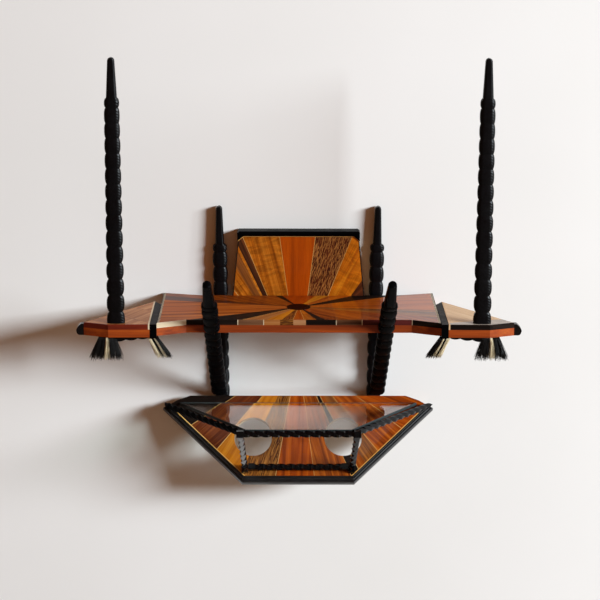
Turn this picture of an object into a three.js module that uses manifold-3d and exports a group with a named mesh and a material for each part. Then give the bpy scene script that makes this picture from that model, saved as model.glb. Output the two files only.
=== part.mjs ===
// Wall shelf: a sunburst marquetry top with two wings, carved sticks for posts, a small
// back panel, and below it a tilted tray with a glass pane held in a gallery of twisted bars.
// Millimetres. X runs along the wall, Y points into the wall and Z up. The wall is the plane
// y = 0 and the top of the shelf is z = 0, so the object has y below 0.
import * as THREE from "three";
import { mergeVertices } from "three/addons/utils/BufferGeometryUtils.js";
import Module from "manifold-3d";

const wasm = await Module();
wasm.setup();

// Fits
const clearance = 0.3; // between pieces that are cut to fit each other or are turned
const overrun = 5; // how far a cutting shape runs past the face that it opens
const farAway = 1000; // further than any piece reaches
const roundSides = { hub: 40, hole: 40, tenon: 16, dowel: 12, peg: 10, screw: 8 };

// Shelf: a mahogany board with a marquetry slab on it
const slabThickness = 10;
const boardThickness = 15;
const shelfThickness = slabThickness + boardThickness;
const shelfHalfWidth = 268.5;
const shelfDepth = 209; // from the wall to the straight front edge
const flareDepth = 24; // how far the flared ends reach in front of that edge
const flareStart = 214; // half the length of the straight front edge
const recessHalfWidth = 195; // half the length of the straight back edge
const grooveWidth = 0.9;
const grooveDepth = 0.8;
const hubRadius = 23;
const hubThickness = 4;
const hubRise = 0.6;
const hubBack = 111; // from the wall to the middle of the hub
const shelfRayAngles = [
  -155.3, -138.3, -122.6, -108.9, -97, -84.3, -71, -62.6, -16, -5,
  24.5, 39.7, 55.3, 69.6, 109.8, 117.5, 161.5, 168.5,
];

// Wings, each past a black strip
const stripWidth = 13;
const stripThickness = 27;
const wingBack = 68; // from the wall to the inner back corner
const wingFront = 243; // from the wall to the inner front corner
const wingNose = { out: 77.5, front: 245 }; // front corner, out from the inner edge
const wingEnd = { out: 125, front: 227 }; // outermost corner
const wingInlayInset = 5;
const tipReach = 14.5; // how far the carved tip stands out past the wing
const tipDepth = 14;
const tipProfile = {
  drop: 3, crest: 5, brow: { in: 2, down: 8 }, cheek: 16, chin: { in: 7, bulge: 1 },
};
const scallopCount = 3;
const scallopSag = { inner: 3, outer: 10 }; // how far the bar hangs below the wing
const scallopThickness = 14;
const scallopSetback = 5; // from the wing's front edge
const scallopLength = 68;
const scallopBite = 3.6; // depth of a scallop

// Heights that posts, tray and gallery share, below the shelf's top
const trayDrop = 209; // the tray's back arris
const galleryDrop = 226; // the middle of the gallery bars

// Carved sticks: beads along a flat stick, a small bead and a plain tapered finial
const stickFlat = 0.45; // share of the width that stays flat on front and back
const stickEdge = 0.34; // share of the thickness left at the side edges
const notchDepthShare = 0.88; // thickness in a notch against the thickness of a bead
const beadOutline = [[0.12, 0.62], [0.38, 1], [0.62, 1], [0.88, 0.62]]; // along it, and how full
const stickTip = { width: 0.6, crown: 0.6 }; // shares of the tip's width and the thickness
const stickShoulder = { drop: 4, crown: 0.8 }; // where the finial's rounded top starts
const stickNeck = { rise: 4, crown: 0.85 }; // the finial's foot, above the small bead
const smallBeadOutline = [[0, 0.84], [0.45, 0.96], [0.75, 0.9]]; // down it, and how wide
const leastStation = 1; // no outline point lies lower than this over the foot
const outerStick = {
  thickness: 16, height: 500, finial: 74, smallBead: 19, finialTip: 12.5, finialBase: 20,
  topBead: 28.5, footBead: 34, notch: 24.5, topPitch: 27.5, pitchGrowth: 0.35,
};
const rearPostTop = 179; // above the shelf's top
const rearPostReach = 53; // below the tray's back arris
const rearStick = {
  thickness: 18, height: rearPostTop + trayDrop + rearPostReach, finial: 76, smallBead: 16,
  finialTip: 12, finialBase: 17,
  topBead: 28.8, footBead: 28.8, notch: 21.6, topPitch: 30.3, pitchGrowth: 0,
};
const frontStick = {
  thickness: 17.5, height: 445, finial: 75, smallBead: 16, finialTip: 13.5, finialBase: 20,
  topBead: 31.5, footBead: 31.5, notch: 24, topPitch: 30, pitchGrowth: 0,
};
const outerPostOut = 63.5; // from the wing's inner edge to the middle of the post
const outerPostSetback = 5; // from the wing's inner front corner to the post's front face
const tenonRadius = 6;
const tenonLength = 18;
const rearPostOut = 154.8; // from the middle of the shelf
const rearPostSplay = THREE.MathUtils.degToRad(0.7); // outwards, about the level of the shelf's top
const frontPostFootOut = 159;
const frontPostTopOut = 169.5;
const frontPostWeb = 3.5; // wood left in front of the shelf's lower arris
const frontPostFootRise = 1; // the foot's lowest point, above the tray's back arris

// Back panel, its cap moulding and the rail that hangs on the wall
const railThickness = 10;
const railHalfWidth = 100;
const railTop = 46;
const railLowEdge = 10; // how far the back of the rail reaches below the shelf's top
const panelBoardThickness = 8;
const panelSlabThickness = 4;
const panelTop = 121.5;
const panelClip = 112.5; // height where the clipped corners start
const panelTopHalf = 109.5;
const panelClipHalf = 120;
const panelFootHalf = 131;
const panelRayDrop = 150; // the panel's rays meet this far below the shelf's top
const panelRayAngles = [-36.3, -28.5, -25.2, -22.3, -7.9, 7, 21.4, 34.8];
const capHalfWidth = 121;
const capHeight = 10.5;
const capReach = 8; // in front of the panel's face
const capClip = 5; // corner cut at each end of the cap
const capOutline = [ // its two steps: in from the front face, and up from the lower edge
  [4, capHeight], [1.5, capHeight - 1.5], [0, capHeight - 3.5], [0, 5.5], [2.5, 4], [4, 4], [4, 0],
];

// Tray, tilted down to the front
const trayTilt = THREE.MathUtils.degToRad(55);
const trayBoardThickness = 10;
const traySlabThickness = 4;
const trayBackHalf = 217;
const trayShoulder = { out: 243, down: 9.5 };
const trayCorner = { out: 272, down: 26.5 };
const trayNose = { out: 111.5, down: 181.5 };
const sideMouldingWidth = 12.5;
const frontMouldingWidth = 14.5;
const mouldingRise = 2;
const mouldingSteps = [ // share of the width in from the outer side, and height over the face
  [1, 0.4], [0.72, 0.4], [0.68, mouldingRise], [0.4, mouldingRise], [0.36, 0], [0.3, 0],
  [0.26, 0.9], [0.12, 0.9], [0.03, -2], [0, -4.5],
];
const trayHoleRadius = 37.5;
const trayHoleOut = 90;
const trayHoleDown = 88.3;
const trayRayBack = 88; // the tray's rays meet this far behind its back arris
const trayRayAngles = [-55, -39, -24.5, -10, 7.2, 22.5, 26.5, 30.3, 38, 53];
const blockWidth = 24;
const blockFootAboveEnd = 4; // the glue block ends above the rear post's lower end

// Glass pane and the gallery of twisted bars round it
const barSide = 9.8;
const collarSide = 13;
const collarLength = 13;
const collarTaper = 1; // where a plain end narrows to the twisted part
const quarterTurnLength = 20;
const stepsPerQuarterTurn = 5;
const frontBarDepth = 213; // from the wall to the middle of the front bar
const frontBarHalf = 120;
const sideBarBackOut = 267;
const sideBarBackDepth = 26;
const sideBarFrontOut = 111.5;
const glassThickness = 6;
const glassBackHalf = 238.5;
const strutFootOut = 106;
const strutFootSetback = 11; // up the slope from the front moulding
const strutTopOut = 112.5;
const strutTopSetback = 1; // from the middle of the front bar toward the wall
const stopBarSetback = 16; // up the slope from the front moulding
const pegRadius = 1.5;
const pegOut = 60; // pegs in the front bar, from the middle
const pegLap = 7; // how far a peg reaches under the glass
const pegSink = 3; // how far a peg goes past the middle of its bar
const sidePegShare = 0.3; // along a side bar, from its front end

// Bristle tufts
const tuft = {
  rows: 5, columns: 15, width: 22, depth: 9, slice: 5, bite: 1.5, length: 44,
  rootRadius: 0.5, tipRadius: 0.35, uneven: 2, lengths: 4, stagger: 0.2,
};
const outerTuft = { gap: 1.5, fanWidth: 52, fanDepth: 16, lean: 5, setback: 5 };
const gapTuft = { width: 15, fanWidth: 24, fanDepth: 12, lean: 24, setback: 4 };

// Fasteners
const dowelRadius = 4;
const dowelLength = 41;
const dowelDepths = { back: 110, front: 200 }; // from the wall
const screw = { shank: 2, head: 4.5, headDepth: 2.6, point: 4, sink: 0.5 };
const postScrewLength = 42;
const railScrewLength = 14;
const railScrewOut = 70;
const railScrewHeight = 16;
const panelScrewLength = 28;
const panelScrewOut = 112;

// Places worked out from the driving dimensions
const stripInner = shelfHalfWidth;
const wingInner = shelfHalfWidth + stripWidth;
const rearFace = -rearStick.thickness; // front of the rear posts, where shelf and panel seat
const panelFront = -(railThickness + panelBoardThickness + panelSlabThickness);
const boardMiddle = -(slabThickness + boardThickness / 2);
const traySlope = new THREE.Vector3(0, -Math.cos(trayTilt), -Math.sin(trayTilt));
const trayNormal = new THREE.Vector3(0, -Math.sin(trayTilt), Math.cos(trayTilt));
const trayOrigin = new THREE.Vector3(0, rearFace, -trayDrop);
const trayPlacement = new THREE.Matrix4().makeRotationX(trayTilt).setPosition(trayOrigin);
const trayThickness = trayBoardThickness + traySlabThickness;
const slabLength = trayNose.down - frontMouldingWidth; // the tray's marquetry, down the slope

// Materials
const black = lacquer(0x1b1a1e, 0.35);
const mahogany = lacquer(0xb8642c, 0.3);
const darkMahogany = lacquer(0x6d3420, 0.35);
const honey = lacquer(0xd98a45, 0.25);
const cream = lacquer(0xe6cfa0, 0.3);
const bareWood = new THREE.MeshStandardMaterial({ color: 0xc39a66, roughness: 0.8 });
const glass = new THREE.MeshStandardMaterial({
  color: 0xbfd8cf, roughness: 0.05, transparent: true, opacity: 0.35,
});
const steel = new THREE.MeshStandardMaterial({ color: 0x9a9a98, roughness: 0.4, metalness: 1 });
const hair = new THREE.MeshStandardMaterial({ color: 0x2a2523, roughness: 0.8 });

function lacquer(color, roughness) {
  return new THREE.MeshStandardMaterial({ color, roughness });
}

// Solids

function toSolid(geometry) {
  const bare = geometry.clone();
  bare.deleteAttribute("normal");
  bare.deleteAttribute("uv");
  const merged = mergeVertices(bare, 1e-4);
  return new wasm.Manifold(new wasm.Mesh({
    numProp: 3,
    vertProperties: Float32Array.from(merged.attributes.position.array),
    triVerts: Uint32Array.from(merged.index.array),
  }));
}

function toGeometry(solid) {
  const mesh = solid.getMesh();
  const geometry = new THREE.BufferGeometry();
  geometry.setAttribute("position", new THREE.BufferAttribute(mesh.vertProperties, 3));
  geometry.setIndex(new THREE.BufferAttribute(mesh.triVerts, 1));
  const flat = geometry.toNonIndexed();
  flat.computeVertexNormals();
  return flat;
}

function cut(geometry, ...tools) {
  return toGeometry(tools.reduce((solid, tool) => solid.subtract(toSolid(tool)), toSolid(geometry)));
}

function join(first, ...others) {
  return toGeometry(others.reduce((solid, other) => solid.add(toSolid(other)), toSolid(first)));
}

// Cuts a piece, drawn in its own frame, with shapes that stand in the object's frame.
function cutInPlace(geometry, placement, ...tools) {
  const inverse = placement.clone().invert();
  return cut(geometry, ...tools.map((tool) => tool.clone().applyMatrix4(inverse)));
}

// A box between two corners, on the right side of the object or mirrored to the left.
function block(low, high, side = 1) {
  const size = high.map((value, axis) => value - low[axis]);
  const middle = high.map((value, axis) => (value + low[axis]) / 2);
  return new THREE.BoxGeometry(...size).translate(side * middle[0], middle[1], middle[2]);
}

function outline(points) {
  return new THREE.Shape(points.map(([x, y]) => new THREE.Vector2(x, y)));
}

function extrude(shape, depth, curveSegments = 8) {
  return new THREE.ExtrudeGeometry(shape, { depth, bevelEnabled: false, curveSegments });
}

// A plan outline between two heights.
function slab(points, low, high) {
  return extrude(outline(points), high - low).translate(0, 0, low);
}

// A side outline of (y, z) points between two places along X.
function alongX(points, low, high) {
  const turn = new THREE.Matrix4().makeBasis(
    new THREE.Vector3(0, 1, 0), new THREE.Vector3(0, 0, 1), new THREE.Vector3(1, 0, 0));
  return extrude(outline(points), high - low).applyMatrix4(turn).translate(low, 0, 0);
}

// A front outline, a shape in X and Z, between two places along Y.
function alongY(shape, low, high) {
  return extrude(shape, high - low).rotateX(Math.PI / 2).translate(0, high, 0);
}

// Both halves of an outline from its right half, which runs from the back to the front.
function bothSides(rightHalf) {
  return [...rightHalf, ...rightHalf.map(([x, y]) => [-x, y]).reverse()];
}

// Closed rings of points, one after the other, joined into a solid with flat ends.
function loft(rings, section) {
  const count = section.length;
  const indices = [];
  for (let ring = 0; ring < rings.length - 1; ring++) {
    for (let i = 0; i < count; i++) {
      const a = ring * count + i;
      const b = ring * count + ((i + 1) % count);
      indices.push(a, b, b + count, a, b + count, a + count);
    }
  }
  const last = (rings.length - 1) * count;
  const contour = section.map(([x, y]) => new THREE.Vector2(x, y));
  for (const [a, b, c] of THREE.ShapeUtils.triangulateShape(contour, [])) {
    indices.push(c, b, a, last + a, last + b, last + c);
  }
  const points = rings.flat();
  if (signedVolume(points, indices) < 0) {
    indices.reverse();
  }
  const geometry = new THREE.BufferGeometry().setFromPoints(points);
  geometry.setIndex(indices);
  const flat = geometry.toNonIndexed();
  flat.computeVertexNormals();
  return flat;
}

function signedVolume(points, indices) {
  let volume = 0;
  const normal = new THREE.Vector3();
  for (let i = 0; i < indices.length; i += 3) {
    normal.crossVectors(points[indices[i + 1]], points[indices[i + 2]]);
    volume += points[indices[i]].dot(normal) / 6;
  }
  return volume;
}

function mesh(name, geometry, material, placement) {
  const piece = new THREE.Mesh(geometry, material);
  piece.name = name;
  if (placement) {
    piece.applyMatrix4(placement);
  }
  return piece;
}

function sideName(side) {
  return side < 0 ? "left" : "right";
}

// A placement whose own Z runs from one point to another, its own Y near the given way.
function placementAlong(from, to, near) {
  const along = to.clone().sub(from).normalize();
  const across = near.clone().cross(along).normalize();
  const up = along.clone().cross(across);
  return new THREE.Matrix4().makeBasis(across, up, along).setPosition(from);
}

// Where the straight line through a and b crosses the one through c and d.
function crossing(a, b, c, d) {
  const across = (b[0] - a[0]) * (d[1] - c[1]) - (b[1] - a[1]) * (d[0] - c[0]);
  const share = ((c[0] - a[0]) * (d[1] - c[1]) - (c[1] - a[1]) * (d[0] - c[0])) / across;
  return [a[0] + share * (b[0] - a[0]), a[1] + share * (b[1] - a[1])];
}

// The line through a and b moved sideways, to the left of the way from a to b.
function offsetLine(a, b, distance) {
  const length = Math.hypot(b[0] - a[0], b[1] - a[1]);
  const shift = [(-(b[1] - a[1]) * distance) / length, ((b[0] - a[0]) * distance) / length];
  return [[a[0] + shift[0], a[1] + shift[1]], [b[0] + shift[0], b[1] + shift[1]]];
}

// Thin cutting boxes that run out from the origin of a plane, turned from its X axis.
function rayGrooves(angles, start, reach) {
  return angles.map((angle) => {
    const tool = new THREE.BoxGeometry(reach - start, grooveWidth, 2 * grooveDepth);
    tool.translate((reach + start) / 2, 0, 0);
    return tool.rotateZ(THREE.MathUtils.degToRad(angle));
  });
}

// Shelf

function shelfOutline() {
  return bothSides([
    [recessHalfWidth, rearFace],
    [shelfHalfWidth, 0],
    [shelfHalfWidth, -shelfDepth - flareDepth],
    [flareStart, -shelfDepth],
  ]);
}

function shelfPieces() {
  const dowelHoles = [-1, 1].flatMap((side) => dowelBores(side));
  const screwHoles = [-1, 1].flatMap((side) => [screwBore("post", side), screwBore("panel", side)]);
  const board = cut(slab(shelfOutline(), -shelfThickness, -slabThickness), ...dowelHoles, ...screwHoles);
  const reach = Math.hypot(shelfHalfWidth, shelfDepth) + overrun;
  const grooves = rayGrooves(shelfRayAngles, hubRadius, reach);
  for (const groove of grooves) {
    groove.translate(0, -hubBack, 0);
  }
  const hubSeat = disc(hubRadius + clearance, hubThickness + clearance, overrun);
  const marquetry = cut(slab(shelfOutline(), -slabThickness, 0), hubSeat, ...grooves);
  return [
    mesh("shelf_board", board, mahogany),
    mesh("shelf_marquetry", marquetry, honey),
    mesh("shelf_hub", disc(hubRadius, hubThickness, hubRise), black),
  ];
}

// A disc about the middle of the shelf's rays, from some depth to some height.
function disc(radius, below, above) {
  return roundBar(radius, below, above, roundSides.hub).translate(0, -hubBack, 0);
}

// Wings

function wingOutline(side) {
  return [
    [side * wingInner, -wingBack],
    [side * wingInner, -wingFront],
    [side * (wingInner + wingNose.out), -wingNose.front],
    [side * (wingInner + wingEnd.out), -wingEnd.front],
  ];
}

function outerPostMiddle(side) {
  const depth = wingFront - outerPostSetback - outerStick.thickness / 2;
  return new THREE.Vector3(side * (wingInner + outerPostOut), -depth, 0);
}

function wingPieces(side) {
  const plan = wingOutline(side);
  const middle = outerPostMiddle(side);
  const mortise = roundBar(tenonRadius + clearance, tenonLength + clearance, overrun);
  mortise.translate(middle.x, middle.y, 0);
  const inlayOut = wingInner + wingInlayInset;
  const inlay = block(
    [inlayOut, -wingNose.front - overrun, -grooveDepth],
    [inlayOut + grooveWidth, -wingBack, overrun], side);
  const board = slab(plan, -shelfThickness, -slabThickness);
  const marquetry = slab(plan, -slabThickness, 0);
  const strip = block([stripInner, -wingFront, -stripThickness], [wingInner, -wingBack, 0], side);
  const name = sideName(side);
  return [
    mesh(`wing_board_${name}`, cut(board, mortise, ...dowelBores(side)), mahogany),
    mesh(`wing_marquetry_${name}`, cut(marquetry, mortise, inlay), side < 0 ? darkMahogany : cream),
    mesh(`gap_strip_${name}`, cut(strip, ...dowelBores(side)), black),
    mesh(`wing_tip_${name}`, wingTip(side), black),
    mesh(`scallop_bar_${name}`, scallopBar(side), black),
  ];
}

// A round upright bar about the Z axis, from some depth to some height.
function roundBar(radius, below, above, sides = roundSides.tenon) {
  const body = new THREE.CylinderGeometry(radius, radius, below + above, sides);
  return body.rotateX(Math.PI / 2).translate(0, 0, (above - below) / 2);
}

// The carved end, its lower side rounded and its top falling outwards, fitted to the wing.
function wingTip(side) {
  const endOut = wingInner + wingEnd.out;
  const inner = endOut - tipDepth;
  const outer = endOut + tipReach;
  const shape = new THREE.Shape();
  const { drop, crest, brow, cheek, chin } = tipProfile;
  shape.moveTo(side * inner, -drop);
  shape.lineTo(side * (endOut + crest), -drop);
  shape.quadraticCurveTo(side * (outer - brow.in), -brow.down, side * outer, -cheek);
  shape.quadraticCurveTo(
    side * (outer - chin.bulge), -shelfThickness, side * (outer - chin.in), -shelfThickness);
  shape.lineTo(side * inner, -shelfThickness);
  const body = alongY(shape, clearance - wingEnd.front, tipDepth - wingEnd.front);
  const [back, nose] = [wingOutline(side)[0], wingOutline(side)[3]];
  const away = side * farAway;
  const seat = offsetLine(back, nose, side * clearance);
  const keepOff = [seat[1], seat[0], [seat[0][0] - away, seat[0][1]], [seat[1][0] - away, seat[1][1]]];
  return cut(body, slab(keepOff, -shelfThickness - overrun, overrun));
}

// A short scalloped stick under the wing's front edge, thin at its inner end.
function scallopBar(side) {
  const top = -shelfThickness;
  const pitch = scallopLength / scallopCount;
  const slope = (scallopSag.outer - scallopSag.inner) / scallopLength;
  const sagAt = (out) => top - scallopSag.inner - slope * out;
  const shape = new THREE.Shape();
  shape.moveTo(side * wingInner, top);
  shape.lineTo(side * wingInner, sagAt(0) + scallopBite / 2);
  for (let i = 0; i < scallopCount; i++) {
    const middle = (i + 0.5) * pitch;
    const end = (i + 1) * pitch;
    const belly = sagAt(middle) - scallopBite;
    const endHeight = sagAt(end) + scallopBite / 2;
    shape.quadraticCurveTo(side * (wingInner + middle), belly, side * (wingInner + end), endHeight);
  }
  shape.lineTo(side * (wingInner + scallopLength), top);
  const front = -wingFront + scallopSetback;
  return alongY(shape, front, front + scallopThickness);
}

// Carved sticks

// Stations along a stick from its foot: height, half the width and half the thickness.
function stickStations(stick) {
  const crown = stick.thickness / 2;
  const beadTop = stick.height - stick.finial;
  const smallFoot = beadTop - stick.smallBead;
  const stations = [
    [stick.height, (stick.finialTip / 2) * stickTip.width, crown * stickTip.crown],
    [stick.height - stickShoulder.drop, stick.finialTip / 2, crown * stickShoulder.crown],
    [beadTop + stickNeck.rise, stick.finialBase / 2, crown * stickNeck.crown],
    ...smallBeadOutline.map(([share, width]) =>
      [beadTop - stick.smallBead * share, (stick.topBead / 2) * width, crown]),
  ];
  let top = smallFoot;
  let pitch = stick.topPitch;
  while (top > 0) {
    const width = THREE.MathUtils.lerp(stick.footBead, stick.topBead, top / smallFoot);
    stations.push([top, stick.notch / 2, crown * notchDepthShare]);
    for (const [share, arch] of beadOutline) {
      const height = top - share * pitch;
      if (height > leastStation) {
        stations.push([height, THREE.MathUtils.lerp(stick.notch, width, arch) / 2, crown]);
      }
    }
    top -= pitch;
    pitch += stick.pitchGrowth;
  }
  stations.push([0, stations.at(-1)[1], crown]);
  return stations.reverse();
}

function stickSection(half, crown) {
  const flat = half * stickFlat;
  const edge = crown * stickEdge;
  return [
    [half, -edge], [half, edge], [flat, crown], [-flat, crown],
    [-half, edge], [-half, -edge], [-flat, -crown], [flat, -crown],
  ];
}

// The stick stands on the origin, its width along X.
function carvedStick(stick) {
  const rings = stickStations(stick).map(([height, half, crown]) =>
    stickSection(half, crown).map(([x, y]) => new THREE.Vector3(x, y, height)));
  return loft(rings, stickSection(stick.notch, stick.thickness));
}

function postPieces(side) {
  const outer = join(carvedStick(outerStick), roundBar(tenonRadius, tenonLength, overrun));
  const rear = cutInPlace(carvedStick(rearStick), rearPlacement(side), screwBore("post", side));
  const name = sideName(side);
  const outerSpot = new THREE.Matrix4().setPosition(outerPostMiddle(side));
  return [
    mesh(`outer_post_${name}`, outer, black, outerSpot),
    mesh(`rear_post_${name}`, rear, black, rearPlacement(side)),
    frontPost(side),
  ];
}

function rearPlacement(side) {
  const foot = new THREE.Matrix4().makeTranslation(0, 0, rearPostTop - rearStick.height);
  const splayed = new THREE.Matrix4().makeRotationY(side * rearPostSplay);
  return splayed.setPosition(side * rearPostOut, rearFace / 2, 0).multiply(foot);
}

// The front post leans out from the rear post over the shelf's lower front arris, with a
// bird's mouth cut for the shelf and its foot cut to the rear post.
function frontPost(side) {
  const foot = new THREE.Vector2(rearFace, frontPostFootRise - trayDrop);
  const arris = new THREE.Vector2(-shelfDepth, -shelfThickness);
  const reach = arris.clone().sub(foot);
  const lean = Math.atan2(-reach.x, reach.y) + Math.asin(frontPostWeb / reach.length());
  const rise = new THREE.Vector3(0, -Math.sin(lean), Math.cos(lean)).multiplyScalar(frontStick.height);
  const face = new THREE.Vector3(0, Math.cos(lean), Math.sin(lean));
  const half = face.clone().multiplyScalar(frontStick.thickness / 2);
  const from = new THREE.Vector3(side * frontPostFootOut, foot.x, foot.y).add(half);
  const to = new THREE.Vector3(side * frontPostTopOut, foot.x, foot.y).add(rise).add(half);
  const placement = placementAlong(from, to, face);
  const mouth = block(
    [-farAway, -shelfDepth - clearance, -shelfThickness - clearance], [farAway, 0, overrun]);
  const rearCut = block([-farAway, rearFace - clearance, -farAway], [farAway, farAway, farAway]);
  const stick = cutInPlace(carvedStick(frontStick), placement, mouth, rearCut);
  return mesh(`front_post_${sideName(side)}`, stick, black, placement);
}

// Back panel and hanging rail

function panelPieces() {
  const back = -railThickness;
  const boardFront = back - panelBoardThickness;
  const half = [[panelFootHalf, 0], [panelClipHalf, panelClip], [panelTopHalf, panelTop]];
  const face = outline(bothSides(half));
  const backHalf = [[panelFootHalf, -shelfThickness], ...half];
  const grooves = rayGrooves(panelRayAngles.map((angle) => 90 - angle), panelRayDrop, 2 * panelRayDrop);
  for (const groove of grooves) {
    groove.rotateX(Math.PI / 2).translate(0, panelFront, -panelRayDrop);
  }
  const screwHoles = [-1, 1].flatMap((side) => [screwBore("rail", side), screwBore("panel", side)]);
  const board = cut(alongY(outline(bothSides(backHalf)), boardFront, back), ...screwHoles);
  const rail = alongX(
    [[0, -railLowEdge], [0, railTop], [back, railTop], [back, railThickness - railLowEdge]],
    -railHalfWidth, railHalfWidth);
  return [
    mesh("panel_board", board, bareWood),
    mesh("panel_marquetry", cut(alongY(face, panelFront, boardFront), ...grooves), honey),
    mesh("panel_moulding", capMoulding(), black),
    mesh("hanging_rail", cut(rail, ...[-1, 1].map((side) => screwBore("rail", side))), bareWood),
  ];
}

// The two-step cap on the panel, its front corners cut off.
function capMoulding() {
  const front = panelFront - capReach;
  const base = panelTop;
  const steps = capOutline.map(([inward, up]) => [front + inward, base + up]);
  const profile = [[0, base], [0, base + capHeight], ...steps];
  const corners = [-1, 1].map((side) => {
    const tool = block([-capClip, -capClip, 0], [capClip, capClip, 2 * capHeight]);
    return tool.rotateZ(Math.PI / 4).translate(side * capHalfWidth, front, base - capHeight / 2);
  });
  return cut(alongX(profile, -capHalfWidth, capHalfWidth), ...corners);
}

// Tray, drawn flat: X across, Y up the slope and Z out of its face, all at its back arris

function trayPieces() {
  const { back, nose } = trayInner();
  const plan = bothSides([[trayBackHalf, 0], [trayShoulder.out, -trayShoulder.down], back, nose]);
  const holes = [-1, 1].map((side) => {
    const hole = roundBar(trayHoleRadius, trayThickness + overrun, overrun, roundSides.hole);
    return hole.translate(side * trayHoleOut, -trayHoleDown, 0);
  });
  const wallCut = block([-farAway, -clearance, -farAway], [farAway, farAway, farAway]);
  wallCut.rotateX(-trayTilt);
  const slabFoot = -traySlabThickness;
  const boardTop = slabFoot - clearance;
  const reach = trayRayBack + trayNose.down + trayCorner.out;
  const grooves = rayGrooves(trayRayAngles.map((angle) => angle - 90), trayRayBack, reach);
  for (const groove of grooves) {
    groove.translate(0, trayRayBack, 0);
  }
  const board = cut(slab(plan, -trayThickness, boardTop), wallCut, ...holes);
  const marquetry = cut(slab(plan, slabFoot, 0), wallCut, ...holes, ...grooves);
  return [
    mesh("tray_board", board, bareWood),
    mesh("tray_marquetry", marquetry, honey),
    mesh("tray_moulding_left", sideMoulding(-1), black),
    mesh("tray_moulding_right", sideMoulding(1), black),
    mesh("tray_moulding_front", frontMoulding(), black),
    stopBar(),
  ];
}

// The corners of the marquetry, inside the mouldings.
function trayInner() {
  const corner = [trayCorner.out, -trayCorner.down];
  const nose = [trayNose.out, -trayNose.down];
  const shoulder = [trayShoulder.out, -trayShoulder.down];
  const sideLine = offsetLine(corner, nose, -sideMouldingWidth);
  return {
    back: crossing(...sideLine, corner, shoulder),
    nose: crossing(...sideLine, [0, -slabLength], [1, -slabLength]),
  };
}

// A moulding between two mitres, each a pair of outer and inner corners.
function mitredMoulding(start, end) {
  const profile = [[0, -trayThickness], [1, -trayThickness], ...mouldingSteps];
  const between = (a, b, share) => a + share * (b - a);
  const ringAt = ([outer, inner]) => profile.map(([share, height]) =>
    new THREE.Vector3(between(outer[0], inner[0], share), between(outer[1], inner[1], share), height));
  return loft([ringAt(start), ringAt(end)], profile);
}

// The side mouldings stop a little short of their mitre with the front one.
function sideMoulding(side) {
  const { back, nose } = trayInner();
  const corner = [trayCorner.out, -trayCorner.down];
  const outerNose = [trayNose.out, -trayNose.down];
  const [innerBack, innerNose] = offsetLine(back, nose, clearance);
  const length = Math.hypot(corner[0] - outerNose[0], corner[1] - outerNose[1]);
  const shortened = ([x, y]) => [
    x + ((corner[0] - outerNose[0]) * clearance) / length,
    y + ((corner[1] - outerNose[1]) * clearance) / length,
  ];
  const onSide = ([x, y]) => [side * x, y];
  const start = [corner, innerBack].map(onSide);
  const end = [outerNose, innerNose].map(shortened).map(onSide);
  return mitredMoulding(start, end);
}

function frontMoulding() {
  const { nose } = trayInner();
  const mitre = (side) => [
    [side * trayNose.out, -trayNose.down], [side * nose[0], nose[1] - clearance],
  ];
  return mitredMoulding(mitre(-1), mitre(1));
}

// Rails of twisted square bar, with plain square ends

// The corners of a square section and the middles of its sides, turned by an angle.
function squareRing(side, angle, height) {
  return [0, 1, 2, 3, 4, 5, 6, 7].map((step) => {
    const at = angle + (step * Math.PI) / 4;
    const radius = step % 2 ? side / Math.SQRT2 : side / 2;
    return new THREE.Vector3(radius * Math.cos(at), radius * Math.sin(at), height);
  });
}

function twistedBar(length) {
  const twistLength = length - 2 * collarLength;
  const quarterTurns = Math.max(1, Math.round(twistLength / quarterTurnLength));
  const steps = quarterTurns * stepsPerQuarterTurn;
  const fullTwist = (quarterTurns * Math.PI) / 2;
  const rings = [squareRing(collarSide, 0, 0), squareRing(collarSide, 0, collarLength - collarTaper)];
  for (let step = 0; step <= steps; step++) {
    const share = step / steps;
    rings.push(squareRing(barSide, share * fullTwist, collarLength + share * twistLength));
  }
  rings.push(squareRing(collarSide, fullTwist, length - collarLength + collarTaper));
  rings.push(squareRing(collarSide, fullTwist, length));
  return loft(rings, squareRing(barSide, 0, 0).map(({ x, y }) => [x, y]));
}

// A point on the tray's face, some way out from the middle and down the slope.
function onTray(out, down, above = 0) {
  return new THREE.Vector3(out, 0, 0)
    .add(trayOrigin)
    .addScaledVector(traySlope, down)
    .addScaledVector(trayNormal, above);
}

// A big box whose upper face lies some height above the tray's face.
function trayBlank(above) {
  const blank = block([-farAway, -farAway, -farAway], [farAway, farAway, above]);
  return blank.applyMatrix4(trayPlacement);
}

function frontBar() {
  const from = new THREE.Vector3(-frontBarHalf, -frontBarDepth, -galleryDrop);
  const to = new THREE.Vector3(frontBarHalf, -frontBarDepth, -galleryDrop);
  const placement = placementAlong(from, to, new THREE.Vector3(0, 0, 1));
  const holes = [-1, 1].map((side) => pegShape(frontPegPlacement(side), clearance));
  const bar = cutInPlace(twistedBar(2 * frontBarHalf), placement, ...holes);
  return mesh("gallery_bar_front", bar, black, placement);
}

function sideBarEnds(side) {
  const back = new THREE.Vector3(side * sideBarBackOut, -sideBarBackDepth, -galleryDrop);
  const front = new THREE.Vector3(side * sideBarFrontOut, -frontBarDepth + collarSide / 2, -galleryDrop);
  return { back, front };
}

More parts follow.
